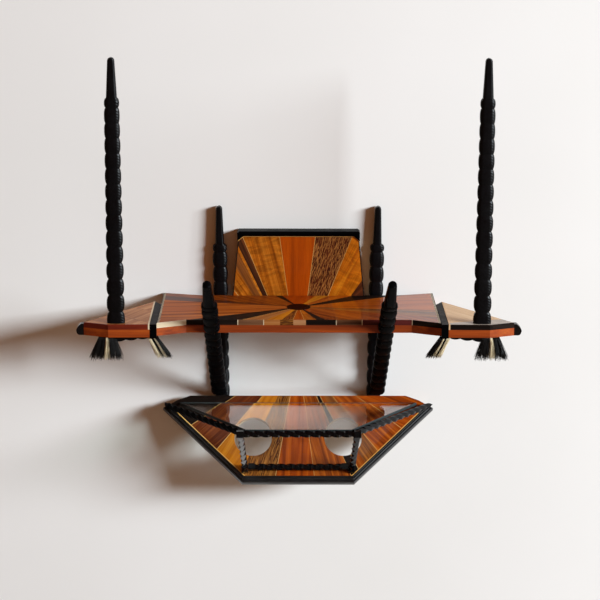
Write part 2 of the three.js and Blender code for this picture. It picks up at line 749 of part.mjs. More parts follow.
// The back end is cut to the tray and the front end to the front bar.
function sideBar(side) {
  const { back, front } = sideBarEnds(side);
  const along = front.clone().sub(back).normalize();
  const from = back.clone().addScaledVector(along, -collarSide - collarLength);
  const to = front.clone().addScaledVector(along, collarSide);
  const placement = placementAlong(from, to, new THREE.Vector3(0, 0, 1));
  const frontCut = block(
    [-farAway, -farAway, -farAway], [farAway, collarSide / 2 + clearance - frontBarDepth, farAway]);
  const hole = pegShape(sidePegPlacement(side), clearance);
  const bar = cutInPlace(
    twistedBar(from.distanceTo(to)), placement, frontCut, trayBlank(mouldingRise + clearance), hole);
  return mesh(`gallery_bar_${sideName(side)}`, bar, black, placement);
}

// A strut stands on the tray and carries the corner where the front and side bars meet.
function strut(side) {
  const foot = onTray(side * strutFootOut, slabLength - strutFootSetback);
  const top = new THREE.Vector3(side * strutTopOut, strutTopSetback - frontBarDepth, -galleryDrop);
  const along = top.clone().sub(foot).normalize();
  const from = foot.clone().addScaledVector(along, -collarSide / 2);
  const placement = placementAlong(from, top, new THREE.Vector3(0, 1, 0));
  const underBars = block(
    [-farAway, -farAway, -galleryDrop - barSide / Math.SQRT2 - clearance],
    [farAway, farAway, farAway]);
  const bar = cutInPlace(twistedBar(from.distanceTo(top)), placement, underBars, trayBlank(clearance));
  return mesh(`gallery_strut_${sideName(side)}`, bar, black, placement);
}

// The bar across the tray's foot, between the struts, drawn in the tray's own frame.
function stopBar() {
  const half = strutFootOut - collarSide / 2 - clearance;
  const height = barSide / Math.SQRT2 + clearance;
  const down = slabLength - stopBarSetback;
  const from = new THREE.Vector3(-half, -down, height);
  const to = new THREE.Vector3(half, -down, height);
  const placement = placementAlong(from, to, new THREE.Vector3(0, 0, 1));
  return mesh("tray_stop_bar", twistedBar(2 * half), black, placement);
}

// Glass pane, resting on the tray at the back and on pegs in the bars

function glassLevels() {
  const top = -galleryDrop + collarSide / 2;
  return { top, bottom: top - glassThickness };
}

function glassPane() {
  const { top, bottom } = glassLevels();
  const back = rearFace + (bottom + trayDrop) / Math.tan(trayTilt) - clearance / Math.sin(trayTilt);
  const front = -frontBarDepth + barSide / Math.SQRT2 + clearance;
  const { back: barBack, front: barFront } = sideBarEnds(1);
  const barLine = [[barBack.x, barBack.y], [barFront.x, barFront.y]];
  const inside = offsetLine(...barLine, -barSide / Math.SQRT2 - 2 * clearance);
  const corner = crossing(...inside, [0, front], [1, front]);
  const plan = bothSides([[glassBackHalf, back], corner]);
  return mesh("glass_pane", slab(plan, bottom, top), glass);
}

function pegHeight() {
  return glassLevels().bottom - clearance - pegRadius;
}

function pegShape(placement, extra) {
  const length = pegSink + barSide / Math.SQRT2 + pegLap;
  return roundBar(pegRadius + extra, extra, length, roundSides.peg).applyMatrix4(placement);
}

function frontPegPlacement(side) {
  const from = new THREE.Vector3(side * pegOut, -frontBarDepth - pegSink, pegHeight());
  const to = from.clone().add(new THREE.Vector3(0, 1, 0));
  return placementAlong(from, to, new THREE.Vector3(0, 0, 1));
}

// The side pegs stand square to their bar, a third of the way back from its front end.
function sidePegPlacement(side) {
  const { back, front } = sideBarEnds(side);
  const along = back.clone().sub(front);
  const inward = new THREE.Vector3(-side * along.y, side * along.x, 0).normalize();
  inward.multiplyScalar(Math.sign(-side * inward.x));
  const middle = front.clone().addScaledVector(along, sidePegShare).setZ(pegHeight());
  const from = middle.clone().addScaledVector(inward, -pegSink);
  return placementAlong(from, from.clone().add(inward), new THREE.Vector3(0, 0, 1));
}

function pegs() {
  return [-1, 1].flatMap((side) => [
    mesh(`glass_peg_front_${sideName(side)}`, pegShape(frontPegPlacement(side), 0), black),
    mesh(`glass_peg_side_${sideName(side)}`, pegShape(sidePegPlacement(side), 0), black),
  ]);
}

// Glue blocks between the rear posts and the tray's underside
function trayBlock(side) {
  const back = rearFace - clearance;
  const underDrop = trayDrop + (trayThickness + clearance) / Math.cos(trayTilt);
  const foot = rearPostTop - rearStick.height + blockFootAboveEnd;
  const apex = -underDrop - clearance * Math.tan(trayTilt);
  const out = (apex - foot) / Math.tan(trayTilt);
  const profile = [[back, apex], [back, foot], [back - out, foot]];
  const middle = side * rearPostOut;
  const wedge = alongX(profile, middle - blockWidth / 2, middle + blockWidth / 2);
  return mesh(`tray_block_${sideName(side)}`, wedge, bareWood);
}

// Bristle tufts, their strands spreading from a slice of backing without crossing

function tuftPiece(name, root, size, fan, side) {
  const backing = block(
    [-size.width / 2, -size.depth / 2, -tuft.slice], [size.width / 2, size.depth / 2, 0]);
  const strands = [];
  for (let row = 0; row < tuft.rows; row++) {
    for (let column = 0; column < tuft.columns; column++) {
      const shift = row % 2 ? tuft.stagger : -tuft.stagger;
      const across = (column + 0.5 + shift) / tuft.columns - 0.5;
      const down = (row + 0.5) / tuft.rows - 0.5;
      const shorter = tuft.uneven * ((3 * column + 5 * row) % tuft.lengths) / tuft.lengths;
      const foot = new THREE.Vector3(
        across * (size.width - 2 * tuft.rootRadius), down * (size.depth - 2 * tuft.rootRadius),
        tuft.bite - tuft.slice);
      const tip = new THREE.Vector3(
        across * fan.width + side * fan.lean, down * fan.depth, shorter - tuft.slice - fan.length);
      strands.push(strand(foot, tip));
    }
  }
  return mesh(name, join(backing, ...strands), hair, new THREE.Matrix4().setPosition(root));
}

// A tapered three-sided strand.
function strand(foot, tip) {
  const corners = [0, 1, 2].map((i) => (i * 2 * Math.PI) / 3);
  const ring = (middle, radius) => corners.map((angle) => new THREE.Vector3(
    middle.x + radius * Math.cos(angle), middle.y + radius * Math.sin(angle), middle.z));
  const section = corners.map((angle) => [Math.cos(angle), Math.sin(angle)]);
  return loft([ring(foot, tuft.rootRadius), ring(tip, tuft.tipRadius)], section);
}

function tufts(side) {
  const name = sideName(side);
  const outerLeft = wingInner + scallopLength + outerTuft.gap;
  const outerRoot = new THREE.Vector3(
    side * (outerLeft + tuft.width / 2),
    -wingFront + outerTuft.setback + tuft.depth / 2, -shelfThickness);
  const outerSize = { width: tuft.width, depth: tuft.depth };
  const outerFan = {
    width: outerTuft.fanWidth, depth: outerTuft.fanDepth, lean: outerTuft.lean, length: tuft.length,
  };
  const gapRoot = new THREE.Vector3(
    side * (wingInner - gapTuft.width / 2),
    -wingFront + gapTuft.setback + tuft.depth / 2, -stripThickness);
  const gapSize = { width: gapTuft.width, depth: tuft.depth };
  const slant = Math.sqrt(tuft.length ** 2 - gapTuft.lean ** 2);
  const gapFan = {
    width: gapTuft.fanWidth, depth: gapTuft.fanDepth, lean: -gapTuft.lean, length: slant,
  };
  return [
    tuftPiece(`tuft_outer_${name}`, outerRoot, outerSize, outerFan, side),
    tuftPiece(`tuft_gap_${name}`, gapRoot, gapSize, gapFan, side),
  ];
}

// Dowels and screws, with the holes that they go in

function dowelShape(side, depth, extra) {
  const radius = dowelRadius + extra;
  const dowel = new THREE.CylinderGeometry(radius, radius, dowelLength + 2 * extra, roundSides.dowel);
  const middle = (stripInner + wingInner) / 2;
  return dowel.rotateZ(Math.PI / 2).translate(side * middle, -depth, boardMiddle);
}

function dowelBores(side) {
  return Object.values(dowelDepths).map((depth) => dowelShape(side, depth, clearance));
}

const screwPlaces = {
  post: { length: postScrewLength, out: rearPostOut, surface: 0, height: boardMiddle },
  rail: { length: railScrewLength, out: railScrewOut, surface: 0, height: railScrewHeight },
  panel: {
    length: panelScrewLength, out: panelScrewOut, surface: -railThickness, height: boardMiddle,
  },
};

// A countersunk screw driven in from the wall side, its head a little below the surface.
function screwShape(kind, side) {
  const { length } = screwPlaces[kind];
  return turnedInto(kind, side, [
    [0, -length], [screw.shank, screw.point - length], [screw.shank, -screw.headDepth],
    [screw.head, 0], [0, 0],
  ]);
}

function screwBore(kind, side) {
  const { length } = screwPlaces[kind];
  const shank = screw.shank + clearance;
  const head = screw.head + clearance;
  return turnedInto(kind, side, [
    [0, -length - clearance], [shank, screw.point - length], [shank, -screw.headDepth],
    [head, 0], [head, overrun], [0, overrun],
  ]);
}

// A turned body on a screw's axis, its profile given as radius and distance out of the wood.
function turnedInto(kind, side, profile) {
  const { out, surface, height } = screwPlaces[kind];
  const points = profile.map(([radius, along]) => new THREE.Vector2(radius, along));
  const body = new THREE.LatheGeometry(points, roundSides.screw);
  return body.translate(side * out, surface - screw.sink, height);
}

function fasteners(side) {
  const name = sideName(side);
  const dowels = Object.entries(dowelDepths).map(([place, depth]) =>
    mesh(`wing_dowel_${place}_${name}`, dowelShape(side, depth, 0), bareWood));
  const screws = Object.keys(screwPlaces).map((kind) =>
    mesh(`${kind}_screw_${name}`, screwShape(kind, side), steel));
  return [...dowels, ...screws];
}

// Assembly

const shelf = new THREE.Group();
const tray = new THREE.Group();
tray.applyMatrix4(trayPlacement);
tray.add(...trayPieces());
const gallery = new THREE.Group();
gallery.add(frontBar(), glassPane(), ...pegs());
shelf.add(...shelfPieces(), ...panelPieces(), tray, gallery);
for (const side of [-1, 1]) {
  gallery.add(sideBar(side), strut(side));
  shelf.add(...wingPieces(side), ...postPieces(side), trayBlock(side), ...tufts(side), ...fasteners(side));
}

export default shelf;
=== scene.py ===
# Wall shelf with a sunburst marquetry top, carved posts and a tilted tray with a glass pane.
# X runs along the wall, Y points into the wall and Z up; the shelf's top is z = 0.
# Blender works in metres. The sizes here are millimetres and degrees where no note says otherwise.
import math

import bmesh
import bpy
from mathutils import Matrix, Quaternion, Vector


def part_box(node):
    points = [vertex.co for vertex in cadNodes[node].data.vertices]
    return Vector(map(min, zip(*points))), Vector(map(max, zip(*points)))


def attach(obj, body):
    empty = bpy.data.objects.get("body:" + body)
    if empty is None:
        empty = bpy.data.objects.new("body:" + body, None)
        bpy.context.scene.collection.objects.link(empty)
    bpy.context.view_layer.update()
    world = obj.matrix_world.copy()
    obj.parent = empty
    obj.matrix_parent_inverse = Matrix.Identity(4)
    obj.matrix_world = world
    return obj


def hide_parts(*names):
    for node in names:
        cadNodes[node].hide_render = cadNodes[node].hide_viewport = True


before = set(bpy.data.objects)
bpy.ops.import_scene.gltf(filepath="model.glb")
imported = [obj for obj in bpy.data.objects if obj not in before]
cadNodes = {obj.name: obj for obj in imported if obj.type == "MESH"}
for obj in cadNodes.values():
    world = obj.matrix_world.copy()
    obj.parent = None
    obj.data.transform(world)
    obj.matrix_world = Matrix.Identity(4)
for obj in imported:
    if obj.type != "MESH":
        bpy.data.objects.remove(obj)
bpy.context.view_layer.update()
mm = 0.001
sides = {"left": -1, "right": 1}
print("Frame loaded:", len(cadNodes), "nodes")


# A place from millimetres
def at(*sizes):
    return Vector(sizes) * mm


def addObject(name, data):
    thing = bpy.data.objects.new(name, data)
    bpy.context.scene.collection.objects.link(thing)
    return thing


def aimAlong(thing, direction, roll=0):
    thing.rotation_mode = "QUATERNION"
    thing.rotation_quaternion = direction.to_track_quat("-Z", "Y") @ Quaternion((0, 0, 1), math.radians(roll))


# Camera, fitted to the photograph's straight edges
view = {
    "place": (-0.0296, -3.7813, 0.9544),  # metres
    "lens": 117, "sensor": 36, "down": 14.37, "right": 0.5, "roll": 0.2,
}


def setCamera():
    data = bpy.data.cameras.new("camera")
    data.lens = view["lens"]
    data.sensor_width = view["sensor"]
    camera = addObject("camera", data)
    camera.location = view["place"]
    down = math.radians(view["down"])
    right = math.radians(view["right"])
    ahead = Vector((math.sin(right) * math.cos(down), math.cos(right) * math.cos(down), -math.sin(down)))
    aimAlong(camera, ahead, view["roll"])
    bpy.context.scene.camera = camera


setCamera()
print("Camera set")


# Colours are written as they show on a screen, as six hexadecimal digits
def tone(digits):
    shares = [int(digits[i:i + 2], 16) / 255 for i in (0, 2, 4)]
    linear = [s / 12.92 if s <= 0.04045 else ((s + 0.055) / 1.055) ** 2.4 for s in shares]
    return (*linear, 1)


def grey(value):
    return (value, value, value, 1)


# Nodes
def startMaterial(name):
    material = bpy.data.materials.new(name)
    material.use_nodes = True
    return material, material.node_tree, material.node_tree.nodes["Principled BSDF"]


def addNode(tree, kind, **settings):
    node = tree.nodes.new(kind)
    for key, value in settings.items():
        setattr(node, key, value)
    return node


def setInputs(node, **values):
    for key, value in values.items():
        node.inputs[key.replace("_", " ")].default_value = value
    return node


def objectPlace(tree):
    return addNode(tree, "ShaderNodeTexCoord").outputs["Object"]


# Noise with a scale of its own along X, Y and Z. Fineness is the strength of each finer layer.
def noise(tree, place, scales, detail=3, fineness=0.6, swirl=0):
    mapping = setInputs(addNode(tree, "ShaderNodeMapping"), Scale=scales)
    tree.links.new(place, mapping.inputs["Vector"])
    node = addNode(tree, "ShaderNodeTexNoise")
    setInputs(node, Scale=1, Detail=detail, Roughness=fineness, Distortion=swirl)
    tree.links.new(mapping.outputs["Vector"], node.inputs["Vector"])
    return node.outputs["Fac"]


def ramp(tree, factor, stops):
    node = addNode(tree, "ShaderNodeValToRGB")
    elements = node.color_ramp.elements
    while len(elements) < len(stops):
        elements.new(0.5)
    for element, (place, colour) in zip(elements, stops):
        element.position = place
        element.color = colour
    tree.links.new(factor, node.inputs["Fac"])
    return node.outputs["Color"]


def blend(tree, kind, first, second, factor):
    node = addNode(tree, "ShaderNodeMix", data_type="RGBA", blend_type=kind)
    for label, value in (("Factor", factor), ("A", first), ("B", second)):
        if isinstance(value, bpy.types.NodeSocket):
            tree.links.new(value, node.inputs[label])
        else:
            node.inputs[label].default_value = value
    return node.outputs["Result"]


def addBump(tree, shader, height, strength, distance):
    bump = setInputs(addNode(tree, "ShaderNodeBump"), Strength=strength, Distance=distance)
    tree.links.new(height, bump.inputs["Height"])
    tree.links.new(bump.outputs["Normal"], shader.inputs["Normal"])


# Sends the first shader to the output, or the second one where the factor is 1
def chooseShader(tree, factor, first, second, output):
    mix = addNode(tree, "ShaderNodeMixShader")
    for source, socket in zip((factor, first, second), mix.inputs):
        tree.links.new(source, socket)
    tree.links.new(mix.outputs["Shader"], tree.nodes[output].inputs["Surface"])


def clearWhere(tree, factor, shader, tint=(1, 1, 1, 1)):
    clear = setInputs(addNode(tree, "ShaderNodeBsdfTransparent"), Color=tint)
    chooseShader(tree, factor, shader.outputs["BSDF"], clear.outputs["BSDF"], "Material Output")


# Wood under gloss lacquer. Laid woods have their grain along U of the piece's own map, which is in
# metres, and boards have it along X. A wood's own line says what differs from these:
laidWood = {
    "laid": True, "run": 3, "swirl": 0.6, "fibres": (22, 900), "fibreShade": (0.72, 1.12), "fibre": 0.8,
    "coat": 0.35, "gloss": 0.09, "specular": 0.05, "index": 1.42,
}
boardWood = {
    "laid": False, "run": 3, "swirl": 0.5, "fibres": (20, 700), "fibreShade": (0.75, 1.1), "fibre": 0.8,
    "coat": 0.35, "gloss": 0.05, "specular": 0.15, "index": 1.45,
}


def grainwise(along, across):
    return along, across, across


def woodMaterial(name, look):
    material, tree, shader = startMaterial(name)
    if look["laid"]:
        place = addNode(tree, "ShaderNodeUVMap", uv_map="grain").outputs["UV"]
    else:
        place = objectPlace(tree)
    dark, mid, light = [tone(digits) for digits in look["tones"]]
    bands = noise(tree, place, grainwise(look["run"], look["bands"]), detail=5, swirl=look["swirl"])
    colour = ramp(tree, bands, [(0.3, dark), (0.5, mid), (0.72, light)])
    fibres = noise(tree, place, grainwise(*look["fibres"]))
    low, high = look["fibreShade"]
    shade = ramp(tree, fibres, [(0.3, grey(low)), (0.62, grey(high))])
    colour = blend(tree, "MULTIPLY", colour, shade, look["fibre"])
    if "curl" in look:  # light and shade that crosses the grain
        curl = noise(tree, place, grainwise(*look["curl"]), detail=2, fineness=0.5, swirl=1.2)
        colour = blend(tree, "OVERLAY", colour, ramp(tree, curl, [(0.35, grey(0.3)), (0.65, grey(0.7))]), 0.6)
    if "fleck" in look:  # short dashes along the grain
        dashes = noise(tree, place, grainwise(*look["fleckRun"]), detail=2, fineness=0.5, swirl=0.8)
        mask = ramp(tree, dashes, [(0.5, grey(0)), (0.56, grey(1))])
        colour = blend(tree, "MIX", colour, tone(look["fleck"]), mask)
    tree.links.new(colour, shader.inputs["Base Color"])
    setInputs(shader, Roughness=0.5, Specular_IOR_Level=look["specular"])
    setInputs(shader, Coat_Weight=look["coat"], Coat_Roughness=look["gloss"], Coat_IOR=look["index"])
    addBump(tree, shader, fibres, strength=0.12, distance=0.0004)
    return material


woods = {  # dark, middle and light tone, and bands to the metre across the grain
    "orange": {"tones": ("7a3206", "a44c0a", "bd6210"), "bands": 60, "coat": 0.9},
    "deepOrange": {"tones": ("7e2f02", "a03f03", "b44d05"), "bands": 45},
    "golden": {"tones": ("6c3004", "a0540e", "c07220"), "bands": 130, "curl": (90, 31.5)},
    "amber": {"tones": ("944306", "b6600c", "cc7a18"), "bands": 90, "curl": (70, 24.5)},
    "umber": {"tones": ("24120a", "3c1f10", "6e3a1c"), "bands": 110},
    "honey": {"tones": ("824208", "ae6412", "cc8626"), "bands": 100},
    "russet": {"tones": ("2e1006", "5a2610", "82421a"), "bands": 120},
    "rust": {"tones": ("521c04", "883605", "aa500e"), "bands": 110},
    "yellow": {"tones": ("a85c0c", "c87c18", "da9428"), "bands": 60},
    "tan": {"tones": ("80451c", "a06432", "b67c48"), "bands": 70},
    "brown": {"tones": ("481a05", "843c0c", "ac5c1a"), "bands": 120},
    "darkBrown": {"tones": ("2c1408", "4f2410", "6e3418"), "bands": 80},
    "redBrown": {"tones": ("4e1c05", "8a3a0a", "b66018"), "bands": 120, "coat": 0.9},
    "streaked": {"tones": ("2e1a0e", "7c441a", "b87028"), "bands": 120, "run": 1.5, "coat": 0.9},
    "zebra": {
        "tones": ("54290c", "86501c", "ac7230"), "bands": 160, "run": 6,
        "fleck": "3a1a0a", "fleckRun": (45, 620),
    },
    "palm": {
        "tones": ("2a0e06", "44190a", "642c12"), "bands": 200, "run": 14,
        "fleck": "98602e", "fleckRun": (80, 850),
    },
    "lightBrown": {"tones": ("6a2e0a", "a4521a", "c07430"), "bands": 120, "run": 1.5, "coat": 0.12},
    "ebony": {"tones": ("0e0806", "18100c", "261a14"), "bands": 90, "fibre": 0.5, "coat": 0.1},
    "purple": {"tones": ("2c0e0e", "4a1a18", "622824"), "bands": 90, "coat": 0.15},
    "greyBrown": {"tones": ("44281a", "6c4830", "90684a"), "bands": 120, "coat": 0.15},
    "wingBrown": {"tones": ("8c5024", "b07242", "c48e5e"), "bands": 90, "run": 1.5, "coat": 0.25},
    "peach": {"tones": ("94603c", "b07c50", "c49268"), "bands": 60, "coat": 0.15},
    "cream": {"tones": ("bfa888", "d0bc9c", "dccbb0"), "bands": 50, "fibre": 0.4},
    "paleMaple": {"tones": ("c0986a", "d0aa80", "dcba92"), "bands": 60, "fibre": 0.6},
    "silver": {"tones": ("9a8c80", "aca094", "bcb0a4"), "bands": 60, "fibre": 0.5},
    "stringing": {"tones": ("b8803c", "cc9850", "dcae6a"), "bands": 90, "fibre": 0.4},
    "darkMahogany": {"tones": ("4a160c", "6a2212", "84301a"), "bands": 50},
}
boards = {
    "mahogany": {"tones": ("68240a", "963e0e", "ae5216"), "bands": 70, "run": 2},
    "bare": {"tones": ("8c6a44", "a98459", "bf9c70"), "bands": 45, "gloss": 0.4, "coat": 0.1},
}
woodMaterials = {name: woodMaterial("wood_" + name, {**laidWood, **look}) for name, look in woods.items()}
mahoganyGloss = woodMaterial("mahogany_gloss", {**boardWood, **boards["mahogany"]})
bareWood = woodMaterial("bare_wood", {**boardWood, **boards["bare"]})

blackFinish = {"deep": "040405", "worn": "0b0b0e", "grain": 260, "patches": 40, "patchShade": (0.8, 1.25)}


# Black lacquer brushed over wood
def blackMaterial(name, rough, specular, index=1.5, worn=blackFinish["worn"]):
    f = blackFinish
    material, tree, shader = startMaterial(name)
    place = objectPlace(tree)
    grain = noise(tree, place, [f["grain"]] * 3, detail=4)
    colour = ramp(tree, grain, [(0.35, tone(f["deep"])), (0.75, tone(worn))])
    tree.links.new(colour, shader.inputs["Base Color"])
    patches = noise(tree, place, [f["patches"]] * 3, fineness=0.5)
    low, high = [grey(rough * share) for share in f["patchShade"]]
    tree.links.new(ramp(tree, patches, [(0.3, low), (0.7, high)]), shader.inputs["Roughness"])
    setInputs(shader, Specular_IOR_Level=specular, IOR=index)
    addBump(tree, shader, grain, strength=0.08, distance=0.0006)
    return material


# A colour that drifts between two tones
def mottle(tree, shader, low, high, scales, fineness=0.6):
    patches = noise(tree, objectPlace(tree), scales, fineness=fineness)
    tree.links.new(ramp(tree, patches, [(0.3, tone(low)), (0.7, tone(high))]), shader.inputs["Base Color"])


def glassMaterial():
    material, tree, shader = startMaterial("clear_glass")
    setInputs(shader, Base_Color=(0.97, 0.985, 0.975, 1), Roughness=0, IOR=1.5, Transmission_Weight=1)
    rays = addNode(tree, "ShaderNodeLightPath")
    clearWhere(tree, rays.outputs["Is Shadow Ray"], shader, tint=(0.9, 0.95, 0.93, 1))
    return material


def glassEdgeMaterial():
    material, tree, shader = startMaterial("ground_glass_edge")
    mottle(tree, shader, "1a1f1e", "30383a", (900, 900, 900))
    setInputs(shader, Roughness=0.45, Specular_IOR_Level=0.3)
    return material


def bristleMaterial(name, low, high):
    material, tree, shader = startMaterial(name)
    mottle(tree, shader, low, high, (900, 900, 40))
    setInputs(shader, Roughness=0.45, Specular_IOR_Level=0.2)
    return material


def steelMaterial():
    material, tree, shader = startMaterial("zinc_steel")
    mottle(tree, shader, "8c8c88", "b4b4b0", (700, 700, 700))
    setInputs(shader, Metallic=1, Roughness=0.35)
    return material


# Paint that is seen through from behind
def paintMaterial(name, low, high):
    material, tree, shader = startMaterial(name)
    mottle(tree, shader, low, high, (1.4, 1.4, 1.4), fineness=0.5)
    setInputs(shader, Roughness=0.9)
    clearWhere(tree, addNode(tree, "ShaderNodeNewGeometry").outputs["Backfacing"], shader)
    return material


blackGloss = blackMaterial("black_gloss", rough=0.18, specular=0.32)
blackSatin = blackMaterial("black_satin", rough=0.36, specular=0.14)
blackDull = blackMaterial("black_dull", rough=0.3, specular=0.02, worn="050506")
blackRidge = blackMaterial("black_ridge", rough=0.4, specular=0.6)
blackTwist = blackMaterial("black_twist", rough=0.11, specular=0.2)
# Painted highlight: a much stronger shine than the black lacquer has, given to the left strut only
blackHighlightShine = blackMaterial("black_highlight_shine", rough=0.08, specular=0.8, index=2.2)
clearGlass = glassMaterial()
glassEdge = glassEdgeMaterial()
bristleMaterials = {
    "dark": bristleMaterial("bristle_black", "040303", "14100e"),
    "pale": bristleMaterial("bristle_cream", "c8b48a", "efe2c2"),
}
zincSteel = steelMaterial()
print("Materials made:", len(bpy.data.materials))


# Finishes of the CAD pieces that show, by how their names start
keptPieces = {
    "shelf_hub": blackDull, "glass_peg": blackSatin, "wing_tip": blackGloss, "scallop_bar": blackSatin,
    "shelf_board": mahoganyGloss, "wing_board": mahoganyGloss, "panel_board": bareWood,
    "hanging_rail": bareWood, "tray_board": bareWood, "tray_block": bareWood, "wing_dowel": bareWood,
    "post_screw": zincSteel, "rail_screw": zincSteel, "panel_screw": zincSteel,
}


def finishKept():
    for start, material in keptPieces.items():
        for name, piece in cadNodes.items():
            if name.startswith(start):
                piece.data.materials.clear()
                piece.data.materials.append(material)


finishKept()
print("CAD pieces finished")


# New pieces
def meshData(name, mesh):
    data = bpy.data.meshes.new(name)
    mesh.to_mesh(data)
    mesh.free()
    return data


def newPiece(name, mesh, materials, node):
    bmesh.ops.recalc_face_normals(mesh, faces=mesh.faces)
    piece = addObject(name, meshData(name, mesh))
    for material in materials:
        piece.data.materials.append(material)
    declare(piece, node)
    return piece


def declare(piece, node):
    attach(piece, "root")
    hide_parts(node)


# Smooth faces, whose edges stay sharp from an angle on
def softenEdges(piece, sharpFrom=38):
    for face in piece.data.polygons:
        face.use_smooth = True
    mesh = bmesh.new()
    mesh.from_mesh(piece.data)
    for edge in mesh.edges:
        if len(edge.link_faces) == 2 and edge.calc_face_angle(0) > math.radians(sharpFrom):
            edge.smooth = False
    mesh.to_mesh(piece.data)
    mesh.free()


def bakeModifiers(piece):
    depsgraph = bpy.context.evaluated_depsgraph_get()
    baked = bpy.data.meshes.new_from_object(piece.evaluated_get(depsgraph))
    old = piece.data
    piece.modifiers.clear()
    piece.data = baked
    bpy.data.meshes.remove(old)


def cutAway(piece, cutterMesh, ownOverlaps=False):
    cutter = addObject("cutter", meshData("cutter", cutterMesh))
    modifier = piece.modifiers.new("cut", "BOOLEAN")
    modifier.object = cutter
    modifier.solver = "EXACT"
    modifier.use_self = ownOverlaps
    bakeModifiers(piece)
    bpy.data.objects.remove(cutter)


# Flat outlines, anticlockwise lists of 2D points in metres
def insetOutline(points, distance):
    inner = []
    for i, here in enumerate(points):
        before = points[i - 1]
        after = points[(i + 1) % len(points)]
        arriving = (here - before).normalized()
        leaving = (after - here).normalized()
        inward = Vector((-arriving.y, arriving.x))
        halfway = (inward + Vector((-leaving.y, leaving.x))).normalized()
        inner.append(here + halfway * distance / halfway.dot(inward))
    return inner


def onSide(point, side):
    return Vector((side * point.x, point.y))


def bothHalves(rightHalf):
    return rightHalf + [onSide(point, -1) for point in reversed(rightHalf)]


# An outline on one side, from places that are measured outwards and forwards
def sideOutline(side, places):
    points = [at(side * out, -forward) for out, forward in places]
    return points if side > 0 else points[::-1]


def loftRings(mesh, rings):
    rows = [[mesh.verts.new(p) for p in ring] for ring in rings]
    for lower, upper in zip(rows, rows[1:]):
        for i in range(len(lower)):
            j = (i + 1) % len(lower)
            mesh.faces.new((lower[i], lower[j], upper[j], upper[i]))
    mesh.faces.new(list(reversed(rows[0])))
    mesh.faces.new(rows[-1])


# A flat board with a small chamfer round its upper face
def slabMesh(points, low, high, edge):
    mesh = bmesh.new()
    levels = [(points, low), (points, high - edge), (insetOutline(points, edge), high)]
    loftRings(mesh, [[(p.x, p.y, z) for p in outline] for outline, z in levels])
    return mesh


# A plane is a point and the direction of its front side
def behind(plane):
    point, normal = plane
    return point, -normal


# A plane square to X, its front side towards the right for 1 and the left for -1
def crossPlane(out, towards):
    return at(out, 0, 0), Vector((towards, 0, 0))


# Cuts away what lies behind each plane, and closes the cut
def trim(mesh, planes):
    for point, normal in planes:
        everything = mesh.verts[:] + mesh.edges[:] + mesh.faces[:]
        bmesh.ops.bisect_plane(
            mesh, geom=everything, dist=1e-7, plane_co=point, plane_no=normal, clear_inner=True)
        rim = [edge for edge in mesh.edges if edge.is_boundary]
        if rim:
            bmesh.ops.holes_fill(mesh, edges=rim)


def heading(degrees):
    angle = math.radians(degrees)
    return Vector((math.cos(angle), math.sin(angle), 0))


# The two planes of a wedge about a centre, each moved inwards by half a joint
def wedgePlanes(centre, start, end, startJoint, endJoint):
    left, right = heading(start + 90), heading(end - 90)
    return [(centre + left * startJoint / 2, left), (centre + right * endJoint / 2, right)]


# The planes of a narrow strip along a ray, from the centre outwards
def stripPlanes(centre, angle, width):
    left = heading(angle + 90)
    return [(centre - left * width / 2, left), (centre + left * width / 2, -left), (centre, heading(angle))]


tightJoint = 0.12 * mm
grainMap = {"step": 0.173, "sideDrift": 0.3}  # metres that the figure moves on per face; its drift on edges


# Woods cut from one slab, each with a grain map that runs along its own heading
class Marquetry:
    def __init__(self, slab):
        self.slab = slab
        self.mesh = bmesh.new()
        self.mesh.loops.layers.uv.new("grain")
        self.woods = []

    def lay(self, planes, woodName, start, angle):
        if woodName not in self.woods:
            self.woods.append(woodName)
        part = self.slab.copy()
        trim(part, planes)
        scratch = meshData("scratch", part)
        count = len(self.mesh.faces)
        self.mesh.from_mesh(scratch)
        bpy.data.meshes.remove(scratch)
        self.mesh.faces.ensure_lookup_table()
        grain = self.mesh.loops.layers.uv["grain"]
        along = heading(angle)
        across = Vector((-along.y, along.x, 0))
        shift = grainMap["step"] * count
        for face in self.mesh.faces[count:]:
            face.material_index = self.woods.index(woodName)
            face.normal_update()
            level = abs(face.normal.z) > 0.5
            for loop in face.loops:
                place = loop.vert.co - start
                sideways = place.dot(across)
                second = sideways if level else place.z + sideways * grainMap["sideDrift"]
                loop[grain].uv = (place.dot(along) + shift, second + shift)

    # Rays of wood between joints, with a pale line in the joints that have one
    def layRays(self, limits, centre, rays, pale, paleWidth):
        for start, end, woodName in rays:
            joints = [paleWidth if angle in pale else tightJoint for angle in (start, end)]
            planes = limits + wedgePlanes(centre, start, end, *joints)
            self.lay(planes, woodName, centre, (start + end) / 2)
        for angle in pale:
            planes = limits + stripPlanes(centre, angle, paleWidth - tightJoint)
            self.lay(planes, "stringing", centre, angle)

    def finish(self, name, node, placement=Matrix()):
        self.slab.free()
        self.mesh.transform(placement)
        return newPiece(name, self.mesh, [woodMaterials[w] for w in self.woods], node)


# Shelf
shelfTop = {
    "halfWidth": 268.5, "front": 209, "flare": 24, "flareStart": 214, "recess": 18, "recessHalf": 195,
    "thickness": 10, "underside": 25, "edge": 0.5, "rayEdge": 0.01, "lipping": 2.6, "lippingGap": 0.05,
    "hubBack": 111, "paleWidth": 0.9,
}
shelfRays = [
    (-155.3, -138.3, "ebony"), (-138.3, -122.6, "tan"), (-122.6, -108.9, "yellow"),
    (-108.9, -97, "zebra"), (-97, -84.3, "orange"), (-84.3, -71, "golden"), (-71, -62.6, "ebony"),
    (-62.6, -16, "redBrown"), (-16, -5, "streaked"), (-5, 24.5, "orange"), (24.5, 39.7, "ebony"),
    (39.7, 55.3, "orange"), (55.3, 69.6, "yellow"), (69.6, 109.8, "deepOrange"),
    (109.8, 117.5, "ebony"), (117.5, 161.5, "brown"), (161.5, 168.5, "darkBrown"),
    (168.5, 204.7, "lightBrown"),
]
